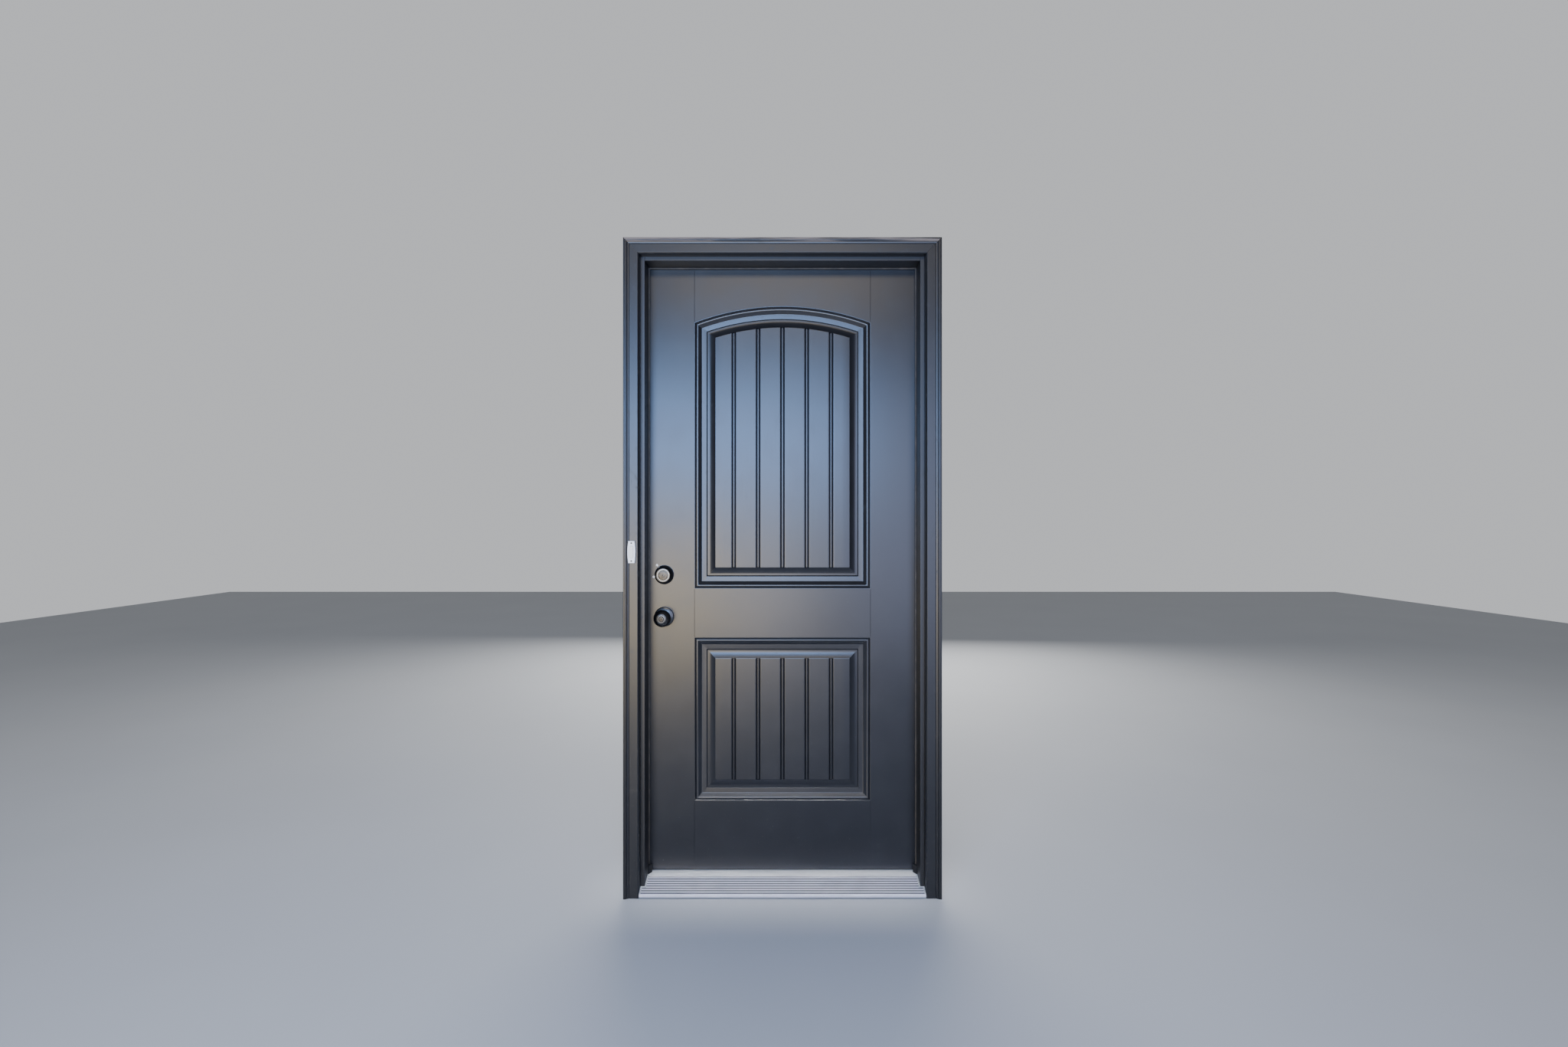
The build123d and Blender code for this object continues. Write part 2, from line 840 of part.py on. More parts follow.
def groove_top(x, inset, arched):
    """Height of a panel's inner outline over the edge of the groove at x."""
    if not arched:
        return lower_top - inset
    reach = abs(x) + groove_width / 2
    return arch_centre + sqrt((arch_radius - inset) ** 2 - reach ** 2)


def cut_panel(arched):
    """Sink one panel into the form under way, then cut the grooves between its planks."""
    section = moulding_section()
    for (inset, depth), (next_inset, next_depth) in zip(section, section[1:]):
        if depth == next_depth:
            continue
        ends = (panel_outline(inset, depth, arched), panel_outline(next_inset, next_depth, arched))
        loft(ends, ruled=True, clean=False, mode=Mode.SUBTRACT if next_depth > depth else Mode.ADD)
    groove_inset = field_inset - cove_width - lip_width / 2
    low = (upper_bottom if arched else lower_bottom) + groove_inset
    field_y = leaf_outside + field_depth
    floor_y = field_y + groove_depth
    bead_half = groove_bead_width / 2
    for groove in range(plank_grooves):
        x = (groove - (plank_grooves - 1) / 2) * plank_pitch
        with BuildSketch(Plane.XY.offset(low)) as groove_section:
            with BuildLine():
                rim = Polyline(
                    (x + bead_half, floor_y),
                    (x + groove_width / 2, field_y),
                    (x + groove_width / 2, leaf_outside - overcut),
                    (x - groove_width / 2, leaf_outside - overcut),
                    (x - groove_width / 2, field_y),
                    (x - bead_half, floor_y),
                )
                ThreePointArc(rim @ 1, (x, floor_y - groove_bead_rise), rim @ 0)
            make_face()
        length = groove_top(x, groove_inset, arched) - low
        extrude(groove_section.sketch, amount=length, clean=False, mode=Mode.SUBTRACT)


def joint_lines():
    """Fine grooves where the moulded stiles meet the moulded rails."""
    spans = ((shoulder(0), leaf_top), (lower_top, upper_bottom), (leaf_bottom, lower_bottom))
    for side in (-1, 1):
        x = side * (panel_half + joint_line_setback)
        for low, high in spans:
            with BuildSketch(Plane.XY.offset(low)) as line_section:
                with BuildLine():
                    Polyline(
                        (x - joint_line_width / 2, leaf_outside),
                        (x, leaf_outside + joint_line_depth),
                        (x + joint_line_width / 2, leaf_outside),
                        close=True,
                    )
                make_face()
            extrude(line_section.sketch, amount=high - low, clean=False, mode=Mode.SUBTRACT)


with BuildPart() as face_form:
    block((-leaf_width / 2, leaf_width / 2), (leaf_outside, leaf_middle), (leaf_bottom, leaf_top))
    cut_panel(True)
    cut_panel(False)
    joint_lines()

sunk_form = face_form.part.moved(Location((0, skin_thickness, 0)))
middle_plane = Plane.XZ.offset(-leaf_middle)


def lock_bores():
    """Cross bores for both locks, through whatever is under way."""
    for z in (knob_z, bolt_z):
        drilled_across(lock_x, z, cross_bore_radius, (leaf_outside - overcut, leaf_inside + overcut))


def faceplate_outline(z):
    y_range = (leaf_middle - plate_width / 2, leaf_middle + plate_width / 2)
    return plate_outline(Plane.YZ.offset(latch_edge), y_range, z, plate_height, plate_corner)


def edge_bores():
    """Edge bores and plate mortises for both locks."""
    for z in (knob_z, bolt_z):
        drilled_along(leaf_middle, z, edge_bore_radius, (latch_edge, lock_x))
        extrude(faceplate_outline(z), amount=plate_thickness, mode=Mode.SUBTRACT)


def between_skins(x_range, z_range):
    """What fills the leaf between its skins over a range of x and z."""
    add(sunk_form)
    block(x_range, (leaf_outside, leaf_middle), z_range, Mode.INTERSECT)
    mirror(about=middle_plane)


with BuildPart() as exterior_skin:
    add(face_form.part)
    add(sunk_form, clean=False, mode=Mode.SUBTRACT)
    lock_bores()

with BuildPart() as interior_skin:
    add(exterior_skin.part)
    mirror(about=middle_plane, mode=Mode.REPLACE)
    for hinge_z in hinge_heights.values():
        hinge_plate(leaf_width / 2, -hinge_leaf_thickness, hinge_z, mode=Mode.SUBTRACT)

core_half = leaf_width / 2 - timber_stile_width
core_y = (leaf_outside + skin_thickness, leaf_inside - skin_thickness)
block_x = (-core_half, lock_block_width - core_half)
block_z = (
    (knob_z + bolt_z) / 2 - lock_block_height / 2,
    (knob_z + bolt_z) / 2 + lock_block_height / 2,
)

with BuildPart() as latch_stile:
    block((latch_edge, -core_half), core_y, (leaf_bottom, leaf_top))
    lock_bores()
    edge_bores()
    add(faceplate_holes.part, mode=Mode.SUBTRACT)

with BuildPart() as hinge_stile:
    block((core_half, leaf_width / 2), core_y, (leaf_bottom, leaf_top))
    for hinge_z in hinge_heights.values():
        hinge_plate(leaf_width / 2, -hinge_leaf_thickness, hinge_z, mode=Mode.SUBTRACT)
    add(door_hinge_holes.part, mode=Mode.SUBTRACT)

with BuildPart() as top_rail:
    between_skins((-core_half, core_half), (leaf_top - timber_top_rail, leaf_top))

with BuildPart() as bottom_rail:
    between_skins((-core_half, core_half), (leaf_bottom, leaf_bottom + timber_bottom_rail))

with BuildPart() as lock_block:
    block(block_x, core_y, block_z)
    lock_bores()
    for bore_z in (knob_z, bolt_z):
        drilled_along(leaf_middle, bore_z, edge_bore_radius, (latch_edge, lock_x))

with BuildPart() as foam_core:
    between_skins(
        (-core_half, core_half),
        (leaf_bottom + timber_bottom_rail, leaf_top - timber_top_rail),
    )
    block(block_x, core_y, block_z, Mode.SUBTRACT)

save(exterior_skin, "exterior_skin")
save(interior_skin, "interior_skin")
save(latch_stile, "latch_stile")
save(hinge_stile, "hinge_stile")
save(top_rail, "top_rail")
save(bottom_rail, "bottom_rail")
save(lock_block, "lock_block")
save(foam_core, "foam_core")

# Door sweep: a vinyl strip under the leaf whose fins brush the threshold cap
sweep_half = leaf_width / 2 - side_gap
fin_bottom = cap_height + seal_clearance
with BuildPart() as door_sweep:
    block(
        (-sweep_half, sweep_half),
        (leaf_middle - sweep_width / 2, leaf_middle + sweep_width / 2),
        (leaf_bottom - sweep_base, leaf_bottom),
    )
    fin_span = channel_back - channel_front - 2 * cap_edge_round - sweep_fin_width
    for fin in range(sweep_fins):
        fin_y = channel_front + cap_edge_round + fin_span * fin / (sweep_fins - 1)
        block(
            (-sweep_half, sweep_half),
            (fin_y, fin_y + sweep_fin_width),
            (fin_bottom, leaf_bottom - sweep_base),
        )

save(door_sweep, "door_sweep")


# Hinges: pressed steel leaves whose knuckles share a loose pin
def knuckle_bars(z, radius, wanted, mode):
    """The knuckles with the wanted remainder, 0 for the jamb's and 1 for the door's."""
    pitch = hinge_height / hinge_knuckles
    reach = knuckle_gap / 2 if mode == Mode.ADD else -knuckle_gap / 2
    for knuckle in range(hinge_knuckles):
        if knuckle % 2 != wanted:
            continue
        low = z - hinge_height / 2 + knuckle * pitch
        with BuildSketch(Plane.XY.offset(low + reach)) as bar:
            with Locations((pin_x, pin_y)):
                Circle(radius)
        extrude(bar.sketch, amount=pitch - 2 * reach, mode=mode)


def hinge_leaf(z, face_x, depth, own, other, holes):
    """One hinge leaf: its flat, its own knuckles, and notches round the other leaf's."""
    hinge_plate(face_x, depth, z)
    knuckle_bars(z, knuckle_radius, own, Mode.ADD)
    knuckle_bars(z, knuckle_radius + knuckle_notch, other, Mode.SUBTRACT)
    with BuildSketch(Plane.XY.offset(z - hinge_height)) as pin_hole:
        with Locations((pin_x, pin_y)):
            Circle(pin_radius + pin_clearance)
    extrude(pin_hole.sketch, amount=2 * hinge_height, mode=Mode.SUBTRACT)
    add(holes, mode=Mode.SUBTRACT)


for hinge_name, hinge_z in hinge_heights.items():
    with BuildPart() as door_hinge_leaf:
        hinge_leaf(hinge_z, leaf_width / 2, -hinge_leaf_thickness, 1, 0, door_hinge_holes.part)
    save(door_hinge_leaf, f"door_hinge_leaf_{hinge_name}")
    with BuildPart() as jamb_hinge_leaf:
        hinge_leaf(hinge_z, rabbet_half, hinge_leaf_thickness, 0, 1, jamb_hinge_holes.part)
    save(jamb_hinge_leaf, f"jamb_hinge_leaf_{hinge_name}")

with BuildPart() as hinge_pins:
    for hinge_z in hinge_heights.values():
        with BuildSketch(Plane.XY.offset(hinge_z - hinge_height / 2)):
            with Locations((pin_x, pin_y)):
                Circle(pin_radius)
        extrude(amount=hinge_height + pin_head_height / 2)
        with BuildSketch(Plane.XY.offset(hinge_z + hinge_height / 2 + knuckle_gap)):
            with Locations((pin_x, pin_y)):
                Circle(pin_head_radius)
        extrude(amount=pin_head_height)
    head_edges = hinge_pins.edges().filter_by(GeomType.CIRCLE).filter_by(
        lambda edge: abs(edge.radius - pin_head_radius) < 0.01
    )
    fillet(head_edges, radius=pin_head_height / 3)

save(hinge_pins, "hinge_pins")


# Lock plates, cases and bolts, all along X in the leaf's edge
def faceplate(z, width, height):
    """A plate in the leaf's edge, with a window for its bolt."""
    extrude(faceplate_outline(z), amount=plate_thickness)
    block(
        (latch_edge, latch_edge + plate_thickness),
        (leaf_middle - width / 2 - bolt_clearance, leaf_middle + width / 2 + bolt_clearance),
        (z - height / 2 - bolt_clearance, z + height / 2 + bolt_clearance),
        Mode.SUBTRACT,
    )
    add(faceplate_holes.part, mode=Mode.SUBTRACT)


case_front = latch_edge + plate_thickness
case_back = lock_x + spindle_size


def bolt_case(z, width, height, cavity_back, hub_z, hub_radius):
    """A round case with the bolt's cavity and the hole for the spindle or tailpiece."""
    drilled_along(leaf_middle, z, case_radius, (case_front, case_back), Mode.ADD)
    block(
        (case_front, cavity_back),
        (leaf_middle - width / 2 - bolt_clearance, leaf_middle + width / 2 + bolt_clearance),
        (z - height / 2 - bolt_clearance, z + height / 2 + bolt_clearance),
        Mode.SUBTRACT,
    )
    drilled_across(lock_x, hub_z, hub_radius, (leaf_outside, leaf_inside))


with BuildPart() as latch_faceplate:
    faceplate(knob_z, latch_width, latch_height)

with BuildPart() as deadbolt_faceplate:
    faceplate(bolt_z, bolt_width, bolt_height)

spindle_corner = spindle_size * sqrt(2) / 2
tail_corner = sqrt(tail_width ** 2 + tail_thickness ** 2) / 2
latch_back = latch_reach + latch_length
with BuildPart() as latch_case:
    bolt_case(
        knob_z,
        latch_width,
        latch_height,
        latch_back + latch_throw + cavity_room,
        knob_z,
        spindle_corner + spindle_clearance,
    )

with BuildPart() as deadbolt_case:
    bolt_case(
        bolt_z,
        bolt_width,
        bolt_height,
        latch_edge + bolt_length + cavity_room,
        tail_z,
        tail_corner + tail_clearance,
    )

with BuildPart() as latch_bolt:
    with BuildSketch(Plane.XY.offset(knob_z - latch_height / 2)):
        with BuildLine():
            Polyline(
                (latch_reach, leaf_middle + latch_width / 2),
                (latch_back, leaf_middle + latch_width / 2),
                (latch_back, leaf_middle - latch_width / 2),
                (latch_edge - latch_bevel_start, leaf_middle - latch_width / 2),
                (latch_reach, leaf_middle + latch_width / 4),
                close=True,
            )
        make_face()
    extrude(amount=latch_height)

with BuildPart() as deadbolt:
    block(
        (latch_edge, latch_edge + bolt_length),
        (leaf_middle - bolt_width / 2, leaf_middle + bolt_width / 2),
        (bolt_z - bolt_height / 2, bolt_z + bolt_height / 2),
    )
    bolt_edges = deadbolt.faces().sort_by(Axis.X)[0].edges()
    chamfer(bolt_edges, length=bolt_bevel)

save(latch_faceplate, "latch_faceplate")
save(deadbolt_faceplate, "deadbolt_faceplate")
save(latch_case, "latch_case")
save(deadbolt_case, "deadbolt_case")
save(latch_bolt, "latch_bolt")
save(deadbolt, "deadbolt")

# Knob set: two hollow-fronted knobs on one square spindle, over screwed roses
knob_axis = lathe_axis(lock_x, knob_z)
street_knob = lathe_plane(lock_x, knob_z, leaf_outside, -1)
room_knob = lathe_plane(lock_x, knob_z, leaf_inside, 1)
spindle_reach = knob_length - knob_pocket_depth


def rose(plane, axis, hole_radius, thickness):
    """A domed disc with a hole for what turns in it."""
    with BuildSketch(plane) as half_section:
        with BuildLine():
            rim = Polyline(
                (rose_flat_radius, thickness),
                (hole_radius, thickness),
                (hole_radius, 0),
                (rose_radius, 0),
                (rose_radius, rose_edge),
            )
            RadiusArc(rim @ 1, rim @ 0, -(thickness - rose_edge) * rose_dome)
        make_face()
    revolve(half_section.sketch, axis=axis)


def posts(z, length):
    """Threaded posts behind a street-side rose, above and below the axis."""
    for side in (-1, 1):
        drilled_across(
            lock_x,
            z + side * post_distance,
            post_radius,
            (leaf_outside, leaf_outside + length),
            Mode.ADD,
        )


def mounting_screws(z, thickness, mode, driven):
    """Machine screws from the room-side rose into the posts of the street-side one."""
    head_y = leaf_inside + thickness
    for side in (-1, 1):
        screw_z = z + side * post_distance
        tip_y = leaf_outside + post_length / 4
        drilled_across(lock_x, screw_z, mount_screw_radius, (tip_y, head_y), mode)
        drilled_across(lock_x, screw_z, mount_screw_head, (head_y - mount_screw_head_depth, head_y), mode)
        if driven:
            with BuildSketch(Plane.XZ.offset(-head_y)) as cross:
                with Locations((lock_x, screw_z)):
                    Rectangle(mount_screw_head * mount_screw_slot_reach, screw_slot)
                    Rectangle(screw_slot, mount_screw_head * mount_screw_slot_reach)
            extrude(cross.sketch, amount=overcut, both=True, mode=Mode.SUBTRACT)


def knob_body(plane, pocket_radius):
    """A knob turned about its axis, with a pocket in its front and a square spindle hole."""
    with BuildSketch(plane) as half_section:
        with BuildLine():
            inside = Polyline(
                (knob_face_radius, knob_length),
                (pocket_radius, knob_length),
                (pocket_radius, spindle_reach),
                (0, spindle_reach),
                (0, neck_back),
                (neck_radius, neck_back),
                (neck_radius, neck_front),
            )
            belly = Spline(
                inside @ 1,
                (knob_radius, knob_belly),
                inside @ 0,
                tangents=((0.3, 1), (0, 1), (-1, 0.12)),
            )
        make_face()
    revolve(half_section.sketch, axis=knob_axis)
    with BuildSketch(Plane.XZ.offset(-plane.origin.Y)) as socket:
        with Locations((lock_x, knob_z)):
            Rectangle(spindle_size, spindle_size)
    extrude(socket.sketch, amount=spindle_reach, both=True, mode=Mode.SUBTRACT)


with BuildPart() as mounting_screw_set:
    mounting_screws(knob_z, rose_thickness, Mode.ADD, True)
    mounting_screws(bolt_z, bolt_rose_thickness, Mode.ADD, True)

with BuildPart() as mounting_screw_holes:
    mounting_screws(knob_z, rose_thickness, Mode.ADD, False)
    mounting_screws(bolt_z, bolt_rose_thickness, Mode.ADD, False)

with BuildPart() as exterior_rose:
    rose(street_knob, knob_axis, neck_radius + neck_clearance, rose_thickness)
    posts(knob_z, post_length)
    add(mounting_screw_holes.part, mode=Mode.SUBTRACT)

with BuildPart() as interior_rose:
    rose(room_knob, knob_axis, neck_radius + neck_clearance, rose_thickness)
    add(mounting_screw_holes.part, mode=Mode.SUBTRACT)

with BuildPart() as exterior_knob:
    knob_body(street_knob, knob_cylinder_radius)

with BuildPart() as interior_knob:
    knob_body(room_knob, button_radius + running_clearance)

with BuildPart() as knob_spindle:
    with BuildSketch(Plane.XZ.offset(-(leaf_inside + spindle_reach))):
        with Locations((lock_x, knob_z)):
            Rectangle(spindle_size, spindle_size)
    extrude(amount=leaf_thickness + 2 * spindle_reach)


def keyway(x, z, front_y):
    """A key slot, cut into a plug from its front."""
    with BuildSketch(Plane.XZ.offset(-front_y)) as slot:
        with Locations((x, z)):
            Rectangle(keyway_width, keyway_height)
    extrude(slot.sketch, amount=-keyway_depth, mode=Mode.SUBTRACT)


with BuildPart() as knob_cylinder:
    turned(
        street_knob,
        knob_axis,
        (
            (plug_radius + running_clearance, spindle_reach),
            (knob_cylinder_radius, spindle_reach),
            (knob_cylinder_radius, knob_length),
            (face_groove_radius + face_groove_width, knob_length + face_rise),
            (face_groove_radius + face_groove_width, knob_length - face_groove_depth),
            (face_groove_radius, knob_length - face_groove_depth),
            (face_groove_radius, knob_length + face_rise),
            (plug_radius + running_clearance, knob_length + face_rise),
        ),
    )

with BuildPart() as knob_key_plug:
    turned(
        street_knob,
        knob_axis,
        (
            (0, spindle_reach + neck_clearance),
            (plug_radius, spindle_reach + neck_clearance),
            (plug_radius, knob_length + plug_proud),
            (0, knob_length + plug_proud),
        ),
    )
    keyway(lock_x, knob_z, leaf_outside - knob_length - plug_proud)

with BuildPart() as knob_turn_button:
    turned(
        room_knob,
        knob_axis,
        (
            (0, spindle_reach + neck_clearance),
            (button_radius, spindle_reach + neck_clearance),
            (button_radius, knob_length),
            (0, knob_length),
        ),
    )
    block(
        (lock_x - button_bar / 2, lock_x + button_bar / 2),
        (leaf_inside + knob_length, leaf_inside + knob_length + button_proud),
        (knob_z - button_radius * button_bar_reach, knob_z + button_radius * button_bar_reach),
    )
    bar_edges = knob_turn_button.faces().sort_by(Axis.Y)[-1].edges()
    fillet(bar_edges, radius=button_bar / 4)

save(mounting_screw_set, "mounting_screws")
save(exterior_rose, "exterior_rose")
save(interior_rose, "interior_rose")
save(exterior_knob, "exterior_knob")
save(interior_knob, "interior_knob")
save(knob_spindle, "knob_spindle")
save(knob_cylinder, "knob_cylinder")
save(knob_key_plug, "knob_key_plug")
save(knob_turn_button, "knob_turn_button")

# Deadbolt: a tapered ring round a keyed cylinder outside, and a turn piece on a rose inside
bolt_axis = lathe_axis(lock_x, bolt_z)
tail_axis = lathe_axis(lock_x, tail_z)
street_bolt = lathe_plane(lock_x, bolt_z, leaf_outside, -1)
room_bolt = lathe_plane(lock_x, bolt_z, leaf_inside, 1)
street_tail = lathe_plane(lock_x, tail_z, leaf_outside, -1)
room_tail = lathe_plane(lock_x, tail_z, leaf_inside, 1)
cylinder_front = ring_length - bolt_cylinder_sink

with BuildPart() as deadbolt_ring:
    with BuildSketch(street_bolt):
        with BuildLine():
            ring_wall = Polyline(
                (ring_front_radius, ring_length),
                (bolt_cylinder_radius, ring_length),
                (bolt_cylinder_radius, 0),
                (ring_radius, 0),
                (ring_radius, ring_edge),
            )
            RadiusArc(ring_wall @ 1, ring_wall @ 0, -ring_length * ring_flare)
        make_face()
    revolve(axis=bolt_axis)
    posts(bolt_z, post_length)
    add(mounting_screw_holes.part, mode=Mode.SUBTRACT)

with BuildPart() as deadbolt_cylinder:
    turned(
        street_bolt,
        bolt_axis,
        (
            (0, 0),
            (bolt_cylinder_radius, 0),
            (bolt_cylinder_radius, cylinder_front - cylinder_step_depth),
            (cylinder_step_radius, cylinder_front - cylinder_step_depth),
            (cylinder_step_radius, cylinder_front),
            (0, cylinder_front),
        ),
    )
    drilled_across(
        lock_x,
        tail_z,
        plug_radius + running_clearance,
        (leaf_outside - ring_length, leaf_outside),
    )

with BuildPart() as deadbolt_key_plug:
    turned(
        street_tail,
        tail_axis,
        (
            (0, neck_clearance),
            (plug_radius, neck_clearance),
            (plug_radius, cylinder_front + plug_proud),
            (0, cylinder_front + plug_proud),
        ),
    )
    keyway(lock_x, tail_z, leaf_outside - cylinder_front - plug_proud)

with BuildPart() as deadbolt_rose:
    rose(room_bolt, bolt_axis, turn_neck_radius * 2, bolt_rose_thickness)
    turned(
        room_bolt,
        bolt_axis,
        (
            (0, 0),
            (turn_neck_radius * 2, 0),
            (turn_neck_radius * 2, bolt_rose_thickness),
            (0, bolt_rose_thickness),
        ),
    )
    drilled_across(
        lock_x,
        tail_z,
        turn_neck_radius + running_clearance,
        (leaf_inside, leaf_inside + bolt_rose_thickness),
    )
    add(mounting_screw_holes.part, mode=Mode.SUBTRACT)

grip_start = bolt_rose_thickness + neck_clearance
with BuildPart() as thumb_turn:
    turned(
        room_tail,
        tail_axis,
        (
            (0, neck_clearance),
            (turn_neck_radius, neck_clearance),
            (turn_neck_radius, grip_start),
            (0, grip_start),
        ),
    )
    with BuildSketch(Plane.XZ.offset(-(leaf_inside + grip_start))):
        with Locations((lock_x, tail_z)):
            SlotOverall(turn_grip_height, turn_grip_width, rotation=90)
    extrude(amount=-turn_grip_length)
    fillet(thumb_turn.faces().sort_by(Axis.Y)[-1].edges(), radius=turn_grip_width / 4)
    with BuildSketch(Plane.XZ.offset(-leaf_inside)):
        with Locations((lock_x, tail_z)):
            Rectangle(tail_thickness, tail_width)
    extrude(amount=-grip_start, mode=Mode.SUBTRACT)

with BuildPart() as tailpiece:
    with BuildSketch(Plane.XZ.offset(-leaf_outside)):
        with Locations((lock_x, tail_z)):
            Rectangle(tail_thickness, tail_width)
    extrude(amount=-(leaf_thickness + grip_start))

save(deadbolt_ring, "deadbolt_ring")
save(deadbolt_cylinder, "deadbolt_cylinder")
save(deadbolt_key_plug, "deadbolt_key_plug")
save(deadbolt_rose, "deadbolt_rose")
save(thumb_turn, "thumb_turn")
save(tailpiece, "tailpiece")

# Bell push: a moulded base screwed to the brickmould, with a sprung push bar
bell_back = -casing_face
bell_front = bell_back - bell_thickness
head_back = bell_front + bell_screw_sink + bell_screw_head_depth
slot_width = bell_button_width + 2 * bell_slot_clearance
slot_height = bell_button_height + 2 * bell_slot_clearance
slot_depth = bell_button_sink + bell_travel + bell_slot_clearance

with BuildPart() as bell_base:
    with BuildSketch(Plane.XZ.offset(-bell_back)):
        with BuildLine():
            right = ThreePointArc(
                (bell_x + bell_end_width / 2, bell_rise - bell_height / 2),
                (bell_x + bell_width / 2, bell_rise),
                (bell_x + bell_end_width / 2, bell_rise + bell_height / 2),
            )
            left = ThreePointArc(
                (bell_x - bell_end_width / 2, bell_rise + bell_height / 2),
                (bell_x - bell_width / 2, bell_rise),
                (bell_x - bell_end_width / 2, bell_rise - bell_height / 2),
            )
            Line(right @ 1, left @ 0)
            Line(left @ 1, right @ 0)
        make_face()
    extrude(amount=bell_thickness)
    fillet(bell_base.faces().sort_by(Axis.Y)[0].edges(), radius=bell_edge_round)
    with BuildSketch(Plane.XZ.offset(-bell_front)):
        with Locations((bell_x, bell_rise)):
            SlotOverall(slot_height, slot_width, rotation=90)
    extrude(amount=-slot_depth, mode=Mode.SUBTRACT)
    for side in (-1, 1):
        screw_z = bell_rise + side * bell_screw_spacing / 2
        drilled_across(bell_x, screw_z, bell_screw_head, (bell_front - overcut, head_back))
        drilled_across(bell_x, screw_z, screw_shank_radius, (bell_front - overcut, bell_back + overcut))

with BuildPart() as bell_screws:
    for side in (-1, 1):
        screw_z = bell_rise + side * bell_screw_spacing / 2
        head_y = (bell_front + bell_screw_sink, head_back)
        drilled_across(bell_x, screw_z, bell_screw_head, head_y, Mode.ADD)
        drilled_across(bell_x, screw_z, screw_shank_radius, (head_back, bell_back), Mode.ADD)
        with BuildSketch(Plane.XZ.offset(-bell_front)):
            with Locations((bell_x, screw_z)):
                Rectangle(bell_screw_head * screw_slot_reach, bell_screw_slot)
                Rectangle(bell_screw_slot, bell_screw_head * screw_slot_reach)
        extrude(amount=-screw_slot_depth, mode=Mode.SUBTRACT)

with BuildPart() as bell_button:
    with BuildSketch(Plane.XZ.offset(-(bell_front + bell_button_sink))):
        with Locations((bell_x, bell_rise)):
            SlotOverall(bell_button_height, bell_button_width, rotation=90)
    extrude(amount=bell_button_sink + bell_button_proud)
    fillet(bell_button.faces().sort_by(Axis.Y)[0].edges(), radius=bell_button_round)

save(bell_base, "bell_base")
save(bell_screws, "bell_screws")
save(bell_button, "bell_button")
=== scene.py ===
from math import atan2, cos, pi, radians, sin, sqrt, tan

import bmesh
import bpy
from mathutils import Matrix, Vector


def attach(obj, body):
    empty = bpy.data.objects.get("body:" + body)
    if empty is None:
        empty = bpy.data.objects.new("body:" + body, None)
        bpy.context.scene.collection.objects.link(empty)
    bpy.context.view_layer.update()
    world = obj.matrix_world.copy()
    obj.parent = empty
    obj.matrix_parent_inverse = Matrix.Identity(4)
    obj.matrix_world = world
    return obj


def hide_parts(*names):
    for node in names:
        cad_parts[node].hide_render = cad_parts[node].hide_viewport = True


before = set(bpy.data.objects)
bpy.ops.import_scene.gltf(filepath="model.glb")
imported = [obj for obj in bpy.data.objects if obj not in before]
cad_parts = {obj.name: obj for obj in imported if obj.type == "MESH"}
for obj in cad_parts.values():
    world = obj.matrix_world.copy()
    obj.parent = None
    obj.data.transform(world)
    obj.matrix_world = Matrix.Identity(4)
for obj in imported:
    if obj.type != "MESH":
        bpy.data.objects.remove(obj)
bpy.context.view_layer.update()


# Studio: a pale floor, soft lamps and a level camera. The camera stands in front of the
# doorway at the height of a person's chest, and its lens takes in the whole frame.
class Wire:
    """The value of one socket. Sums on it add Math nodes to its finish."""

    def __init__(self, finish, socket):
        self.finish = finish
        self.socket = socket

    def sum(self, operation, first, second):
        return self.finish.node("ShaderNodeMath", {"operation": operation}, {0: first, 1: second})

    def __add__(self, other):
        return self.sum("ADD", self, other)

    def __radd__(self, other):
        return self.sum("ADD", other, self)

    def __sub__(self, other):
        return self.sum("SUBTRACT", self, other)

    def __rsub__(self, other):
        return self.sum("SUBTRACT", other, self)

    def __mul__(self, other):
        return self.sum("MULTIPLY", self, other)

    def __rmul__(self, other):
        return self.sum("MULTIPLY", other, self)


